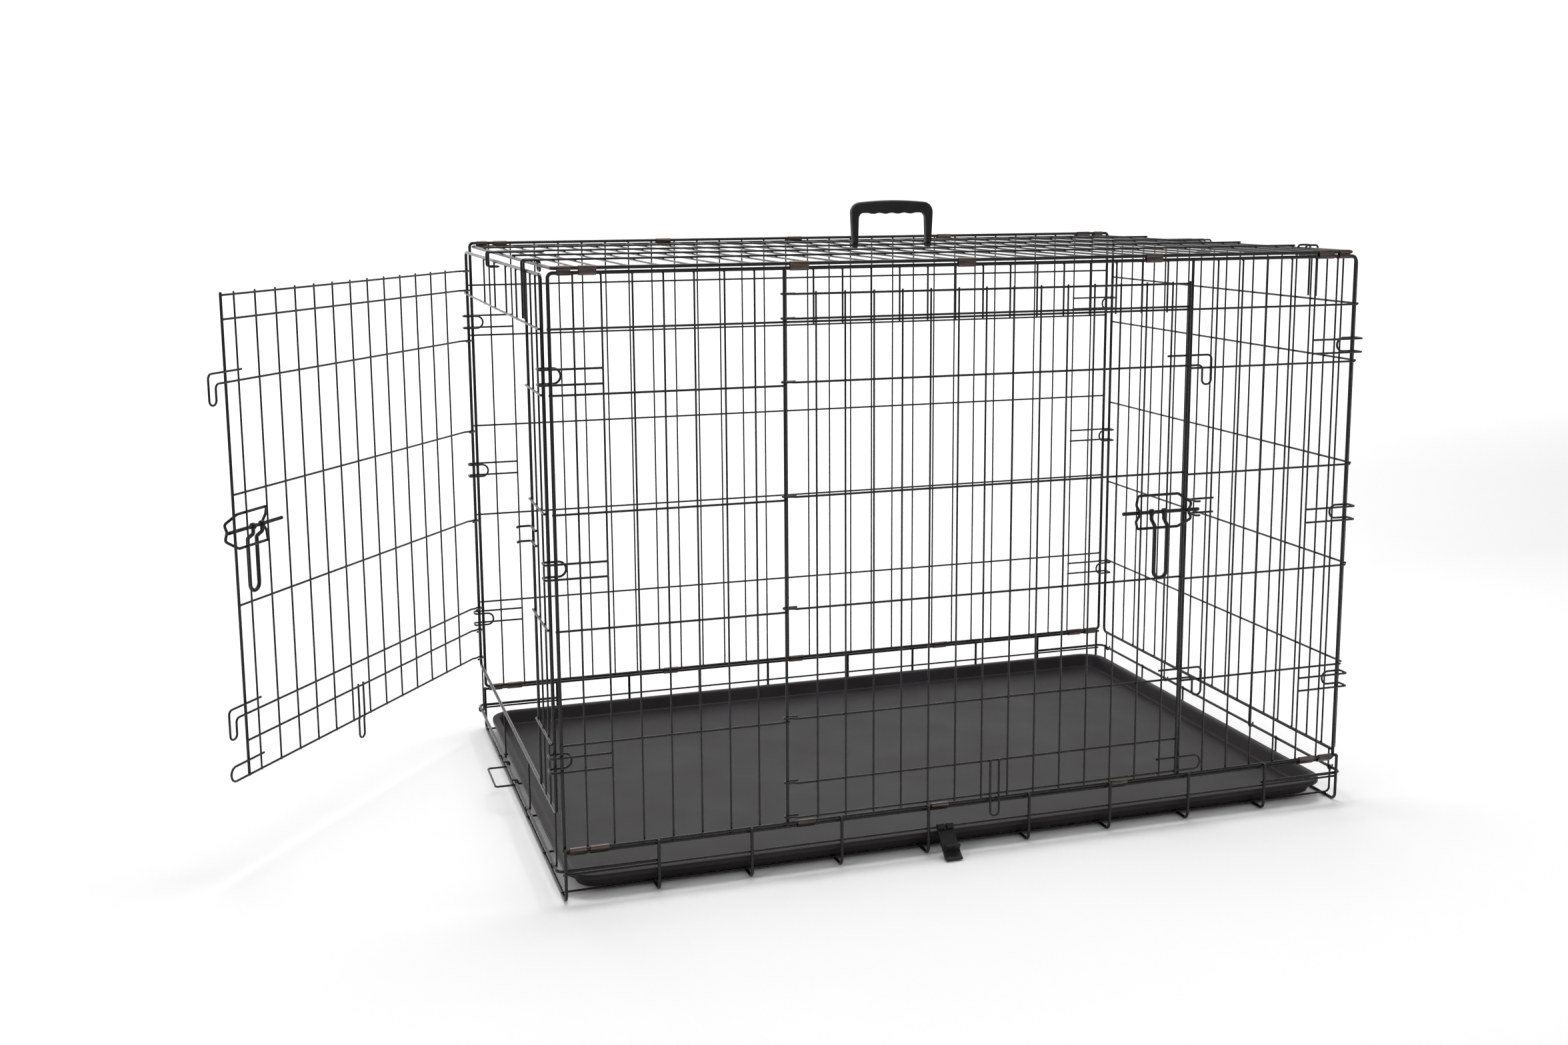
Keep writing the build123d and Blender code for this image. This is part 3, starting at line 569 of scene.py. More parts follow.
FRONT_CLIPS = [(-502.5, -480.0), (-243.0, -220.0), (-65.0, -42.0), (189.5, 212.5), (476.0, 500.0)]
BACK_CLIPS = [(-499.0, -476.0), (-247.0, -224.0), (-34.0, -11.0), (222.5, 245.5), (476.0, 499.0)]
TOP_CLIPS = [(-498.0, -477.5), (-247.0, -224.0), (-33.0, -10.0), (223.0, 246.0), (476.0, 499.0)]
BASE_OUTER, TOP_OUTER = (507.0, 527.5), (507.0, 522.5)
clips("base_clips", "base", ["base_hinge_clips"],
      [(FRONT_CLIPS, BASE_OUTER, (-PANEL_Y, FRONT_Z), (-RAIL_Y, RAIL_Z)),
       (BACK_CLIPS, BASE_OUTER, (PANEL_Y, BACK_Z), (RAIL_Y, RAIL_Z))])
clips("top_clips", "top_panel", ["top_hinge_clips"],
      [(TOP_CLIPS, TOP_OUTER, (-PANEL_Y, FRONT_Z + PANEL_H), (-PANEL_Y, TOP_Z)),
       (TOP_CLIPS, TOP_OUTER, (PANEL_Y, BACK_Z + PANEL_H), (TOP_BACK_Y, TOP_Z))])


# ---- long panels ------------------------------------------------------------------------------
def panel_loop(y, z):
    top = z + PANEL_H
    corners = [(-PANEL_X, y, z), (PANEL_X, y, z), (PANEL_X, y, top), (-PANEL_X, y, top)]
    return bent(corners, 5.5, closed=True)


CATCH_LEVELS = (561.5, 335.3, 102.5)
CATCH_PAIR = 17.9
CATCH_FOOT_X, CATCH_CORNER_X, CATCH_LOOP_X, CATCH_TIP_X = 472.3, 547.0, 530.0, 519.1
CATCH_IN_Y = -331.2


def catches(z, side):
    """Spring catches of one long panel: pairs of wires that wrap the end panels' uprights."""
    made = []
    for level in CATCH_LEVELS:
        low, high = z + level, z + level + CATCH_PAIR
        leg = [(CATCH_FOOT_X, -CROSS_Y), (CATCH_CORNER_X, -CROSS_Y), (CATCH_CORNER_X, CATCH_IN_Y),
               (CATCH_LOOP_X, CATCH_IN_Y)]
        going, _ = bent([(x, y, low) for x, y in leg], 3.0)
        back_again, _ = bent([(x, y, high) for x, y in reversed(leg)], 3.0)
        loop, _ = bent([(CATCH_LOOP_X, CATCH_IN_Y, low), (CATCH_TIP_X, CATCH_IN_Y, low),
                        (CATCH_TIP_X, CATCH_IN_Y, high), (CATCH_LOOP_X, CATCH_IN_Y, high)],
                       CATCH_PAIR / 2, steps=10)
        made.append((going[:-1] + loop + back_again[1:], False))
    made += flipped_x(made)
    return flipped_y(made) if side > 0 else made


front = Piece("front_panel_wires", "front_panel",
              ["front_frame", "front_door_hinge_upright", "front_door_jamb", "front_uprights",
               "front_header_uprights", "front_cross_wires"])
front.wire(FRAME, panel_loop(-PANEL_Y, FRONT_Z))
head, foot = FRONT_Z + PANEL_H - 1.0, FRONT_Z + 1.0
for x in (-OPEN_X, JAMB_X):
    front.wire(JAMB, straight((x, -JAMB_Y, foot), (x, -JAMB_Y, head)))
plain_x = [-v for v in SIDE_X] + SIDE_X[1:]
for x in plain_x:
    front.wire(THIN, straight((x, -THIN_Y, foot), (x, -THIN_Y, head)))
over_door = [-OPEN_X + MID_PITCH * k for k in range(1, 15)]
header = FRONT_Z + HEADER
for x in over_door:
    front.wire(THIN, straight((x, -THIN_Y, header - 3.0), (x, -THIN_Y, head)))
weld_y = -(CROSS_Y - CROSS)
for level in LEVELS:
    z = FRONT_Z + level
    front.wire(CROSS, straight((-PAST, -CROSS_Y, z), (-OPEN_X + JAMB, -CROSS_Y, z)))
    front.wire(CROSS, straight((JAMB_X - JAMB, -CROSS_Y, z), (PAST, -CROSS_Y, z)))
front.wire(CROSS, straight((-PAST, -CROSS_Y, header), (PAST, -CROSS_Y, header)))
front_posts = plain_x + [-OPEN_X, JAMB_X, -PANEL_X, PANEL_X]
front.welds += crossings(front_posts, [FRONT_Z + v for v in LEVELS], weld_y)
front.welds += crossings(front_posts + over_door, [header], weld_y)
for x in plain_x + [-OPEN_X, JAMB_X]:
    front.welds.append((x, -PANEL_Y, FRONT_Z + FRAME))
for x in plain_x + over_door + [-OPEN_X, JAMB_X]:
    front.welds.append((x, -PANEL_Y, FRONT_Z + PANEL_H - FRAME))
front_catches = Piece("front_catches", "front_panel", ["front_corner_catches"])
front_catches.wire(CROSS, *catches(FRONT_Z, -1))

back = Piece("back_panel_wires", "back_panel", ["back_frame", "back_uprights", "back_cross_wires"])
back.wire(FRAME, panel_loop(PANEL_Y, BACK_Z))
back_x = both(SIDE_X) + [-OPEN_X + MID_PITCH * k for k in range(15)]
for x in back_x:
    back.wire(THIN, straight((x, THIN_Y, BACK_Z + 1.0), (x, THIN_Y, BACK_Z + PANEL_H - 1.0)))
    back.welds += [(x, PANEL_Y, BACK_Z + FRAME), (x, PANEL_Y, BACK_Z + PANEL_H - FRAME)]
for level in LEVELS + [HEADER]:
    back.wire(CROSS, straight((-PAST, CROSS_Y, BACK_Z + level), (PAST, CROSS_Y, BACK_Z + level)))
back.welds += crossings(back_x + [-PANEL_X, PANEL_X], [BACK_Z + v for v in LEVELS + [HEADER]], -weld_y)
back_catches = Piece("back_catches", "back_panel", ["back_corner_catches"])
back_catches.wire(CROSS, *catches(BACK_Z, 1))


# ---- top --------------------------------------------------------------------------------------
top = Piece("top_panel_wires", "top_panel", ["top_frame", "top_cross_wires", "top_long_wires"])
top.wire(FRAME, bent([(-TOP_X, -PANEL_Y, TOP_Z), (TOP_X, -PANEL_Y, TOP_Z), (TOP_X, TOP_BACK_Y, TOP_Z),
                      (-TOP_X, TOP_BACK_Y, TOP_Z)], 5.5, closed=True))
TOP_SHIFT = 3.4
top_x = [x - TOP_SHIFT for x in both(SIDE_X) + [-OPEN_X + MID_PITCH * k for k in range(15)]]
top_x[0] += 2 * TOP_SHIFT
thin_z = TOP_Z + FRAME - THIN
for x in top_x:
    top.wire(THIN, straight((x, -PANEL_Y + 1.0, thin_z), (x, TOP_BACK_Y - 1.0, thin_z)))
    top.welds += [(x, -PANEL_Y + FRAME, TOP_Z + 0.5), (x, TOP_BACK_Y - FRAME, TOP_Z + 0.5)]
LONG_Y = [-206.4, -68.8, 68.8, 206.4]
for y in LONG_Y:
    top.wire(CROSS, straight((-TOP_X - 3.0, y, LONG_Z), (TOP_X + 3.0, y, LONG_Z)))
    top.welds += [(x, y, TOP_Z + FRAME) for x in top_x + [-TOP_X, TOP_X]]
TOP_CATCH_Y, TOP_CATCH_TIP_X, TOP_CATCH_TIP_Z = (39.0, 56.9), 533.0, 737.0
down_hook = [hairpin([(CATCH_FOOT_X, LONG_Z), (CATCH_CORNER_X, LONG_Z),
                      (CATCH_CORNER_X, TOP_CATCH_TIP_Z), (TOP_CATCH_TIP_X, TOP_CATCH_TIP_Z)],
                     TOP_CATCH_Y, 3.0)]
top_catches = Piece("top_hairpins", "top_panel", ["top_end_catches"])
top_catches.wire(CROSS, *down_hook, *flipped_x(down_hook))


# ---- end panels -------------------------------------------------------------------------------
END_THIN_X = END_X + FRAME - THIN
END_CROSS_X = END_X + FRAME + CROSS
END_REACH = END_Y + FRAME - 0.2
end_weld_x = END_CROSS_X - CROSS
END_HEAD = 684.0
END_PITCH = 36.0
ARCH_IN_X, ARCH_FOOT_Z, ARCH_TOP_Z, ARCH_Y = 524.4, 688.0, 757.6, (-243.0, -225.1)


def end_loop(x, sill):
    corners = [(x, -END_Y, sill), (x, END_Y, sill), (x, END_Y, END_TOP), (x, -END_Y, END_TOP)]
    return bent(corners, 8.0, closed=True)


def rail_hook(y, sill):
    """Hook at the foot of an end panel, turned under the end rail; drawn for the right end."""
    ring = BASE + EYE_CLEAR + THIN
    inside, outside = END_RAIL_X - ring, END_RAIL_X + ring
    under = END_RAIL_Z - ring
    return bent([(inside, y, sill - 1.0), (inside, y, under), (outside, y, under),
                 (outside, y, END_RAIL_Z + 3.0)], ring, steps=9)


def over_top():
    """Spring catch of an end panel that reaches over the end wire of the top; right end."""
    return hairpin([(END_CROSS_X, ARCH_FOOT_Z), (END_CROSS_X, ARCH_TOP_Z), (ARCH_IN_X, ARCH_TOP_Z),
                    (ARCH_IN_X, TOP_Z - 8)], ARCH_Y, 4.0)


right = Piece("right_end_wires", "right_end", ["right_end_frame", "right_end_uprights",
                                               "right_end_cross_wires", "right_end_rail_hooks"])
right.wire(FRAME, end_loop(END_X, RIGHT_SILL))
right_y = [END_PITCH * (k - 8.5) for k in range(18)]
for y in right_y:
    right.wire(THIN, straight((END_THIN_X, y, RIGHT_SILL + 1.0), (END_THIN_X, y, END_TOP - 1.0)))
    right.welds += [(END_X, y, RIGHT_SILL + FRAME), (END_X, y, END_TOP - FRAME)]
end_levels = [FRONT_Z + v for v in LEVELS] + [END_HEAD]
for z in end_levels:
    right.wire(CROSS, straight((END_CROSS_X, -END_REACH, z), (END_CROSS_X, END_REACH, z)))
    right.welds += [(end_weld_x, y, z) for y in right_y + [-END_Y, END_Y]]
for y in both([126.0, 326.0]):
    right.wire(THIN, rail_hook(y, RIGHT_SILL))
right_catch = Piece("right_top_catch", "right_end", ["right_end_top_catch"])
right_catch.wire(CROSS, over_top())

left = Piece("left_end_wires", "left_end", ["left_end_frame", "left_door_jamb", "left_end_uprights",
                                            "left_end_cross_wires", "left_end_rail_hooks"])
left.wire(FRAME, end_loop(-END_X, LEFT_SILL))
LEFT_JAMB_Y = -231.0
left_jamb_x = -(END_X + FRAME - JAMB)
left.wire(JAMB, straight((left_jamb_x, LEFT_JAMB_Y, LEFT_SILL + 1.0),
                         (left_jamb_x, LEFT_JAMB_Y, END_TOP - 1.0)))
strip_y = [-270.0, -306.0]
for y in strip_y:
    left.wire(THIN, straight((-END_THIN_X, y, LEFT_SILL + 1.0), (-END_THIN_X, y, END_TOP - 1.0)))
over_y = [131.0, 28.0, -74.0, -160.0]
for y in over_y:
    left.wire(THIN, straight((-END_THIN_X, y, END_HEAD - 3.0), (-END_THIN_X, y, END_TOP - 1.0)))
for z in end_levels[:-1]:
    left.wire(CROSS, straight((-END_CROSS_X, -END_REACH, z), (-END_CROSS_X, LEFT_JAMB_Y + JAMB, z)))
    left.welds += [(-end_weld_x, y, z) for y in strip_y + [-END_Y, LEFT_JAMB_Y]]
left.wire(CROSS, straight((-END_CROSS_X, -END_REACH, END_HEAD), (-END_CROSS_X, END_REACH, END_HEAD)))
left.welds += [(-end_weld_x, y, END_HEAD) for y in strip_y + over_y + [-END_Y, END_Y, LEFT_JAMB_Y]]
for y in strip_y + over_y + [LEFT_JAMB_Y]:
    left.welds.append((-END_X, y, END_TOP - FRAME))
left.wire(THIN, *flipped_x([rail_hook(y, LEFT_SILL) for y in (-326.0, -126.0, 90.0, 326.0)]))
left_catch = Piece("left_top_catch", "left_end", ["left_end_top_catch"])
left_catch.wire(CROSS, *flipped_x([over_top()]))


# ---- doors ------------------------------------------------------------------------------------
DOOR_LEVELS, DOOR_HEAD = [717.0, 688.0, 612.5, 474.5, 336.5, 198.5], 720.0
HOOK_LEVELS, HOOK_OUT, HOOK_WIDE, HOOK_DROP = (612.5, 198.5), 36.0, 13.0, 25.0
FOOT_LOOP_OUT, FOOT_LOOP = 38.5, 18.7
TAB_WIDTH, TAB_STEP_OUT = 12.0, 1.1
BOLT_Z, BOLT_OUT, BOLT_TIP, BOLT_LENGTH = 426.5, 9.2, 19.5, 110.0
GUIDE_FAR, GUIDE_NEAR, GUIDE_HALF, GUIDE_EAR = 67.5, 9.5, 21.5, 10.5
GRIP_EYES, GRIP_OUT, GRIP_FOOT, GRIP_BEND = (69.0, 51.0), 9.0, 342.0, 9.0


def door(side, face, pin, edge, first, pitch, count, feet, tab_at, tab_low, bolt_back, place):
    """Door with its hinge axis at the origin, closed along +X, outer face to -Y, then put in place."""
    thin_y = -face - CROSS - THIN
    edge_y = -face - CROSS - JAMB
    last = first + pitch * (count - 1)
    levels = DOOR_LEVELS + feet
    ring = pin + EYE_CLEAR + CROSS
    body = side + "_door"

    def add(piece, radius, *paths, dome=0.3):
        piece.wire(radius, *moved(paths, place), dome=dome)

    leaf = Piece(side + "_door_wires", body,
                 [body + part for part in ("_uprights", "_edge_wire", "_cross_wires", "_hinge_eyes")])
    foot, head = feet[-1] - 3.0, DOOR_HEAD
    posts = [first + pitch * k for k in range(count)]
    for x in posts:
        add(leaf, THIN, straight((x, thin_y, foot), (x, thin_y, head)))
    add(leaf, JAMB, straight((edge, edge_y, foot), (edge, edge_y, head)))
    for z in levels:
        eye = [(edge + JAMB, -face, z), (12.0, -face, z), (6.0, -ring, z), (-ring, -ring, z),
               (-ring, ring, z), (14.5, ring, z)]
        line = bent(eye[:4], 2.4)[0][:-1] + bent(eye[2:], ring, steps=12)[0][1:]
        add(leaf, CROSS, (line, False))
    spots = [(x, -face - CROSS, z) for x in posts + [edge] for z in levels]
    leaf.welds += [place @ Vector(p) for p in spots]

    hooks = Piece(side + "_door_hooks_and_tab", body, [body + "_hooks"])
    for z in HOOK_LEVELS:
        far, over, under = edge + HOOK_OUT, z + HOOK_WIDE, z - HOOK_DROP
        path = [(last - 3.0, -face, over), (far, -face, over), (far, -face, under),
                (far - HOOK_WIDE, -face, under), (far - HOOK_WIDE, -face, z), (edge - 2.0, -face, z)]
        add(hooks, CROSS, bent(path, 6.0))
    far, over = edge + FOOT_LOOP_OUT, feet[-1] + FOOT_LOOP
    stop = [(last - 3.0, -face, over), (far, -face, over), (far, -face, feet[-1]),
            (edge - 2.0, -face, feet[-1])]
    add(hooks, CROSS, bent(stop, FOOT_LOOP / 2, steps=9))
    tab_y = -face - 2 * CROSS
    leg = [(tab_y, feet[0] + 2.0), (tab_y, feet[-1] - 2.0), (tab_y - TAB_STEP_OUT, feet[-1] - 6.5),
           (tab_y - TAB_STEP_OUT, tab_low)]
    tab = [(tab_at, y, z) for y, z in leg] + [(tab_at + TAB_WIDTH, y, z) for y, z in reversed(leg)]
    add(hooks, CROSS, bent(tab, 6.0, steps=9))

    guide = Piece(side + "_bolt_guide_wire", body, [side + "_bolt_guide"])
    flat = thin_y - THIN - GUIDE
    bolt_y = -face - BOLT_OUT
    proud = bolt_y - BOLT - GUIDE - 0.6
    a, b = edge - GUIDE_FAR, edge - GUIDE_NEAR
    loop = [(a, flat, BOLT_Z + GUIDE_HALF), (b, flat, BOLT_Z + GUIDE_HALF),
            (b + 15.0, proud, BOLT_Z + GUIDE_EAR), (b + 10.5, proud, BOLT_Z),
            (b + 15.0, proud, BOLT_Z - GUIDE_EAR), (b, flat, BOLT_Z - GUIDE_HALF),
            (a, flat, BOLT_Z - GUIDE_HALF), (a - 5.5, proud + 2.5, BOLT_Z - GUIDE_EAR),
            (a - 0.5, proud, BOLT_Z), (a - 5.5, proud + 2.5, BOLT_Z + GUIDE_EAR)]
    add(guide, GUIDE, bent(loop, 4.2, closed=True))

    bar = Piece(side + "_bolt_bar", side + "_bolt", [side + "_bolt_rod"])
    tip = edge + BOLT_TIP - bolt_back
    rod = straight((tip - BOLT_LENGTH, bolt_y, BOLT_Z), (tip - 1.0, bolt_y, BOLT_Z))
    add(bar, BOLT, rod, dome=0.42)

    grip = Piece(side + "_bolt_grip", side + "_bolt_handle", [side + "_bolt_handle"])
    out, under = bolt_y - GRIP_OUT, BOLT_Z - BOLT - 1.0
    ends = [tip - v for v in GRIP_EYES]
    bottom, turn_z = GRIP_FOOT, GRIP_FOOT + 10.0
    leg = [(bolt_y, under), (bolt_y, under - 6.0), (out, under - 13.0), (out, turn_z)]
    down, _ = bent([(ends[0], y, z) for y, z in leg], 4.0)
    up_again, _ = bent([(ends[1], y, z) for y, z in reversed(leg)], 4.0)
    turn, _ = bent([(ends[0], out, turn_z), (ends[0], out, bottom), (ends[1], out, bottom),
                    (ends[1], out, turn_z)], GRIP_BEND, steps=10)
    add(grip, GRIP, (down[:-1] + turn + up_again[1:], False))
    for x in ends:
        grip.meshes.append(collar_mesh(x, bolt_y, place))


def collar_mesh(x, y, place):
    """Eye of the bolt's grip: a short turned ring with rounded edges."""
    outer, bore, half, edge = BOLT + 2.0, BOLT + 0.1, 2.5, 0.6
    profile = [(-half, bore), (-half, outer - edge), (-half + edge, outer), (half - edge, outer),
               (half, outer - edge), (half, bore)]
    whole = bmesh.new()
    turned(whole, profile, (x, y, BOLT_Z), 20, place)
    return finished(whole, "collar")


QUARTER_TURN, LEFT_DOOR_OPEN = -90.0, 37.0
left_turn = Matrix.Rotation(radians(QUARTER_TURN - LEFT_DOOR_OPEN), 4, "Z")
door("front", face=351.0 - JAMB_Y, pin=JAMB, edge=536.0, first=36.5, pitch=36.55, count=14,
     feet=[116.0, 71.5], tab_at=268.5, tab_low=43.0, bolt_back=0.0,
     place=Matrix.Translation((-OPEN_X, -JAMB_Y, 0)))
door("left", face=7.0, pin=FRAME, edge=560.0, first=45.0, pitch=40.9, count=13,
     feet=[164.0, 120.0], tab_at=305.0, tab_low=88.0, bolt_back=12.0,
     place=Matrix.Translation((-END_X, END_Y, 0)) @ left_turn)
KEEPER_LEVELS, KEEPER_OUT = (437.4, 419.0), 17.0


def keeper(name, body, node, place):
    """Pair of wires on the jamb that the bolt's tip goes between."""
    piece = Piece(name, body, [node])
    weld = -(CROSS_Y - JAMB_Y)
    out = weld - KEEPER_OUT
    for z in KEEPER_LEVELS:
        path = [(PITCH + 2.0, weld, z), (3.0, weld, z), (3.0, out, z), (9.0, out, z)]
        piece.wire(CROSS, *moved([bent(path, 3.0)], place))
        piece.welds += [place @ Vector((x, weld + CROSS, z)) for x in (PITCH, 3.0)]


keeper("front_keeper_wires", "front_panel", "front_bolt_keeper",
       Matrix.Translation((JAMB_X, -JAMB_Y, 0)))
keeper("left_keeper_wires", "left_end", "left_bolt_keeper",
       Matrix.Translation((left_jamb_x, LEFT_JAMB_Y, 0))
       @ Matrix.Rotation(radians(QUARTER_TURN), 4, "Z"))


# ---- pan --------------------------------------------------------------------------------------
def rounded(half_x, half_y, radius, steps=8):
    """Points round a rectangle with rounded corners."""
    points = []
    for cx, cy, start in ((1, 1, 0), (-1, 1, 90), (-1, -1, 180), (1, -1, 270)):
        for k in range(steps + 1):
            a = radians(start + 90 * k / steps)
            points.append((cx * (half_x - radius) + radius * cos(a),
                           cy * (half_y - radius) + radius * sin(a)))
    return points


def pan():
    """Formed tray: flat floor, sloping walls with a soft foot, flared rim and a turned-down lip."""
    low, high = box_mm("pan")
    half_x, half_y, bottom, rim = high[0], high[1], low[2], high[2]
    sheet, middle, corner, least_corner = 2.2, 60.0, 37.0, 8.0
    floor, under = bottom + sheet, rim - sheet
    inner = [(middle, floor), (26.0, floor), (22.0, floor), (19.0, floor), (17.2, floor + 0.3),
             (16.2, floor + 1.2), (15.6, floor + 2.8), (11.5, rim - 3.5), (10.6, rim - 1.2),
             (9.4, rim - 0.2), (7.8, rim), (1.8, rim), (0.6, rim - 0.4), (0.0, rim - 1.6),
             (0.0, rim - 6.0)]
    outer = [(0.6, rim - 6.3), (1.6, rim - 6.0), (2.0, rim - 3.0), (2.8, under), (7.6, under),
             (8.6, under - 1.5), (13.6, floor + 1.5), (15.0, bottom + 1.0), (16.6, bottom),
             (middle, bottom)]
    whole = bmesh.new()
    rings = []
    for inset, z in inner + outer:
        radius = max(least_corner, corner - inset)
        rings.append([whole.verts.new(Vector((x, y, z)) * MM)
                      for x, y in rounded(half_x - inset, half_y - inset, radius)])
    skin(whole, rings)
    whole.faces.new(list(reversed(rings[0])))
    whole.faces.new(rings[-1])
    make_object("pan_tray", finished(whole, "pan_tray", SHEET, 40), "pan", ["pan"])


pan()

stop = Piece("pan_stop_loop", "pan_stop", ["pan_stop"])
STOP_TIP_X, STOP_OUT_X, STOP_Y = -548.0, -570.0, (-21.0, 57.0)
ring = BASE + EYE_CLEAR + CROSS
near, low_z, high_z = -END_RAIL_X + ring, END_RAIL_Z - ring, END_RAIL_Z + ring
stop.wire(CROSS, hairpin([(STOP_TIP_X, high_z), (near, high_z), (near, low_z), (STOP_OUT_X, low_z)],
                         STOP_Y, ring, steps=9))


# ---- carrying handle --------------------------------------------------------------------------
def carrying_handle():
    """Moulded bow: tapered legs, crowned top, finger bumps under the grip, snap-on eyes at its feet."""
    centre_x, centre_y = (v * 1000 for v in joints["handle_fold"]["pos_m"][:2])
    top_z = box_mm("carry_handle")[1][2]
    half, deep, outer_x, squareness, around = 56.5, 13.0, 63.5, 0.45, 20
    crown, bump_depth, bump_pitch, bumps_half = 4.3, 0.7, 19.0, 38.0
    foot = LONG_Z + 3.2

    def side_line(foot_x, bow_x, shoulder, radius):
        """Points up one leg, over the bow and down the other, evenly matched between two lines."""
        line, _ = bent([(-foot_x, 0, foot), (-bow_x, 0, shoulder), (bow_x, 0, shoulder),
                        (foot_x, 0, foot)], radius, steps=10)
        legs = [line[0].lerp(line[1], k / 12) for k in range(12)]
        bow = [line[11].lerp(line[12], k / 60) for k in range(1, 60)]
        far_leg = [line[22].lerp(line[23], k / 12) for k in range(1, 13)]
        return legs + line[1:12] + bow + line[12:23] + far_leg

    outer = side_line(60.5, outer_x, top_z - 4.5, 13.0)
    inner = side_line(52.5, 51.0, top_z - 18.5, 8.0)
    for point in outer:
        if point.z > top_z - 18.0:
            point.z += crown * max(0.0, 1 - (point.x / outer_x) ** 2)
    for point in inner:
        if abs(point.x) < bumps_half and point.z > top_z - 25:
            point.z -= bump_depth * (1 - cos(point.x * 2 * pi / bump_pitch))
    whole = bmesh.new()
    rings = []
    for far, near in zip(outer, inner):
        middle, reach = (far + near) / 2, (far - near) / 2
        ring_points = []
        for k in range(around):
            a = 2 * pi * (k + 0.5) / around
            across = deep / 2 * abs(cos(a)) ** squareness * (1 if cos(a) > 0 else -1)
            along = abs(sin(a)) ** squareness * (1 if sin(a) > 0 else -1)
            spot = middle + reach * along + Vector((centre_x, centre_y + across, 0))
            ring_points.append(whole.verts.new(spot * MM))
        rings.append(ring_points)
    skin(whole, rings)
    whole.faces.new(rings[0])
    whole.faces.new(rings[-1])
    eye = [(-4.0, 1.55), (-4.0, 3.9), (-3.3, 4.6), (3.3, 4.6), (4.0, 3.9), (4.0, 1.55)]
    for side in (-1, 1):
        turned(whole, eye, (centre_x + side * half, centre_y, LONG_Z), 24)
    make_object("handle_bow", finished(whole, "handle_bow", PLASTIC, 45), "carry_handle",
                ["carry_handle"])


carrying_handle()


# ---- carrying latch ---------------------------------------------------------------------------
def extruded(whole, profile, x_from, x_to):
    """Plate of the given side profile (y, z)."""
    ends = []
    for x in (x_from, x_to):
        ends.append([whole.verts.new(Vector((x, y, z)) * MM) for y, z in profile])
    whole.faces.new(ends[0])
    whole.faces.new(list(reversed(ends[1])))
    skin(whole, ends)


def carrying_latch():
    """Moulded hook plate with a thumb tab, snapped on the front rail of the base by two knuckles."""
    y, z = (v * 1000 for v in joints["carry_latch_swing"]["pos_m"][1:])
    whole = bmesh.new()
    plate = [(-350.5, 31.5), (-353.6, 29.4), (-366.0, 17.6), (-378.5, 5.9), (-381.0, 5.2), (-382.6, 4.2),
             (-383.0, 3.0), (-382.4, 1.6), (-381.0, 1.0), (-376.0, 1.0), (-374.5, 1.6), (-367.5, 9.5),
             (-352.0, 24.5), (-347.8, 29.5)]
    left_x, right_x, bore, outer, edge = -57.0, -35.0, 1.6, 4.2, 0.5
    extruded(whole, plate, left_x, right_x)
    thumb_tab = [(-369.4, 15.2), (-374.6, 20.2), (-376.4, 20.4), (-377.6, 18.9), (-373.5, 10.4)]
    extruded(whole, thumb_tab, left_x + 1.0, right_x - 1.0)
    for x_from, x_to in ((left_x, -47.5), (-45.0, right_x)):
        knuckle = [(x_from, bore), (x_from, outer - edge), (x_from + edge, outer),
                   (x_to - edge, outer), (x_to, outer - edge), (x_to, bore)]
        turned(whole, knuckle, (0.0, y, z), 24)
    made = make_object("latch_plate", finished(whole, "latch_plate", PLASTIC, 38), "carry_latch",
                       ["carry_latch"])
    soften = made.modifiers.new("broken_edges", "BEVEL")
    soften.width = 0.0005
    soften.segments = 2
    soften.limit_method = "ANGLE"
    soften.angle_limit = radians(40)


carrying_latch()


# ---- turn every piece's wires into meshes -----------------------------------------------------
for name, piece in pieces.items():
    meshes = [tube_mesh(paths, radius, dome) for (radius, dome), paths in piece.wires.items()]
    if piece.welds:
        meshes.append(weld_mesh(piece.welds))
    mesh = joined(name, meshes + piece.meshes, COATING)
    make_object(name, mesh, piece.body, piece.nodes)


# ---- floor, light and camera ------------------------------------------------------------------
def sweep():
    """Pale floor that curves up into a plain backdrop; the backdrop glows evenly like a lit screen, a
    painted glow, and the floor carries a painted glow that rises from none at 0.9 m back to the
    backdrop's at 4.2 m.
    """
    near, foot, curve, height, half_width, below = -9.0, 3.4, 1.2, 5.5, 24.0, 0.0003
    profile = [(near, 0.0), (-3.0, 0.0), (foot, 0.0)]
    for a in range(10, 91, 10):
        profile.append((foot + curve * sin(radians(a)), curve - curve * cos(radians(a))))
    profile.append((foot + curve, height))
    whole = bmesh.new()
    rows = [[whole.verts.new((x, y, z - below)) for x in (-half_width, half_width)] for y, z in profile]
    for a, b in zip(rows, rows[1:]):
        whole.faces.new((a[0], a[1], b[1], b[0]))
    mesh = bpy.data.meshes.new("sweep")
    whole.to_mesh(mesh)
    whole.free()
    mesh.shade_smooth()
    paint, nodes, links, shader, place = finish("sweep_white_with_painted_glow", (0.9, 0.9, 0.9), 0.7)
    patches = noise(nodes, links, place, 1.5)
    links.new(tint(nodes, links, patches, (0.895, 0.895, 0.895), (0.905, 0.905, 0.905)),
              shader.inputs["Base Color"])
    shader.inputs["Emission Color"].default_value = (1, 1, 1, 1)
    # painted glow: emission strength rises with Y from 0 at 0.9 m to 0.5 from 4.2 m on, so the far floor
    # and the backdrop glow white
    parts = nodes.new("ShaderNodeSeparateXYZ")
    links.new(place, parts.inputs["Vector"])
    links.new(spread(nodes, links, parts.outputs["Y"], 0.0, 0.5, 0.9, 4.2),
              shader.inputs["Emission Strength"])
    mesh.materials.append(paint)
    placed("sweep", mesh)


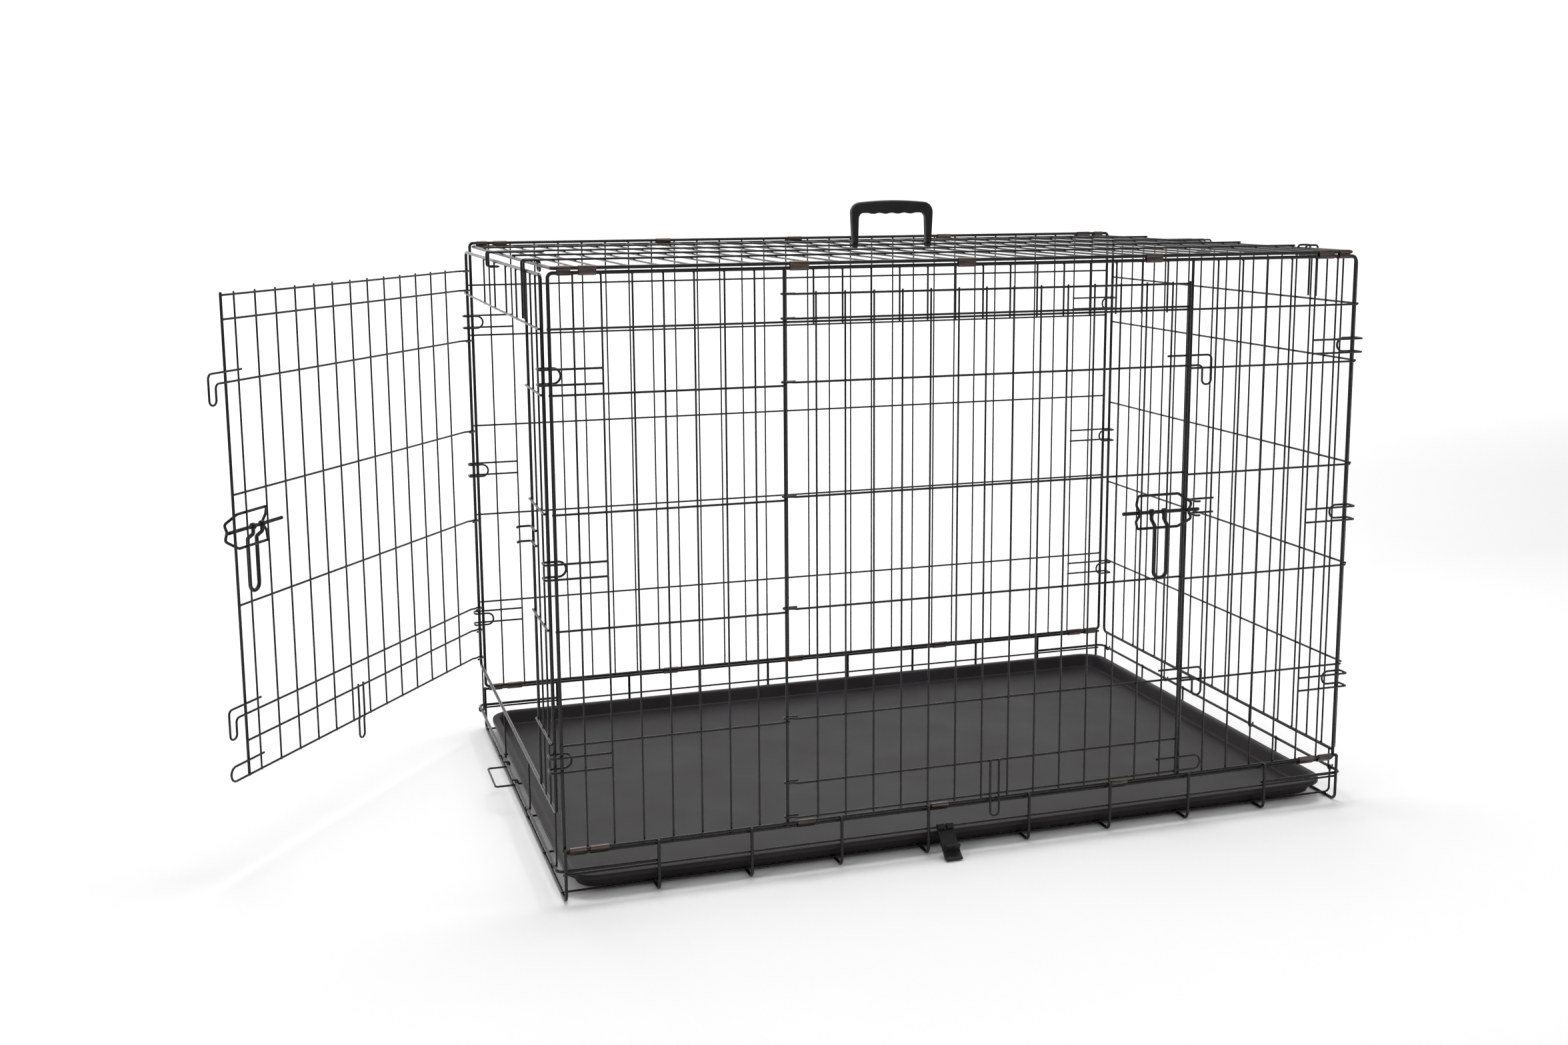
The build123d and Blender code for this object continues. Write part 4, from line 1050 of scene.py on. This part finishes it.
def softbox(name, at, aim, size, power):
    lamp = bpy.data.lights.new(name, "AREA")
    lamp.shape = "RECTANGLE"
    lamp.size, lamp.size_y = size
    lamp.energy = power
    made = placed(name, lamp)
    made.location = at
    made.rotation_euler = (Vector(aim) - Vector(at)).to_track_quat("-Z", "Y").to_euler()


sweep()
softbox("overhead", (0.1, 0.5, 3.0), (0, 0, 0.4), (2.2, 1.2), 62)
softbox("left_side", (-3.0, -1.6, 1.9), (0, 0, 0.4), (0.8, 1.8), 16)
softbox("right_side", (3.0, -1.4, 2.0), (0, 0, 0.4), (0.8, 1.8), 12)
world = bpy.data.worlds.new("studio")
bpy.context.scene.world = world
world.use_nodes = True
world.node_tree.nodes["Background"].inputs["Color"].default_value = (1, 1, 1, 1)
world.node_tree.nodes["Background"].inputs["Strength"].default_value = 0.5

# The lens is fitted: focal length and optical centre in units of a frame WIDE x TALL across.
WIDE, TALL = 2352, 1568
FOCAL, CENTRE_X, CENTRE_Y = 2578.04, 1212.305, 699.415
SENSOR = 36.0
CAMERA_AT = (-0.857741, -2.280071, 0.849517)
AZIMUTH, RISE, ROLL = -18.084, 9.469, -0.288
lens = bpy.data.cameras.new("camera")
lens.sensor_width = SENSOR
lens.lens = FOCAL / WIDE * SENSOR
lens.shift_x = (WIDE / 2 - CENTRE_X) / WIDE
lens.shift_y = (CENTRE_Y - TALL / 2) / WIDE
lens.clip_end = 60
azimuth, rise, roll = radians(AZIMUTH), radians(RISE), radians(ROLL)
toward = Vector((sin(azimuth) * cos(rise), -cos(azimuth) * cos(rise), sin(rise)))
across = Vector((0, 0, 1)).cross(toward).normalized()
upward = toward.cross(across)
level_x, level_y = across.copy(), upward.copy()
across = level_x * cos(roll) + level_y * sin(roll)
upward = level_y * cos(roll) - level_x * sin(roll)
camera = placed("camera", lens)
aimed = Matrix((across, upward, toward)).transposed().to_4x4()
camera.matrix_world = Matrix.Translation(CAMERA_AT) @ aimed
bpy.context.scene.camera = camera
bpy.context.scene.view_settings.view_transform = "Standard"
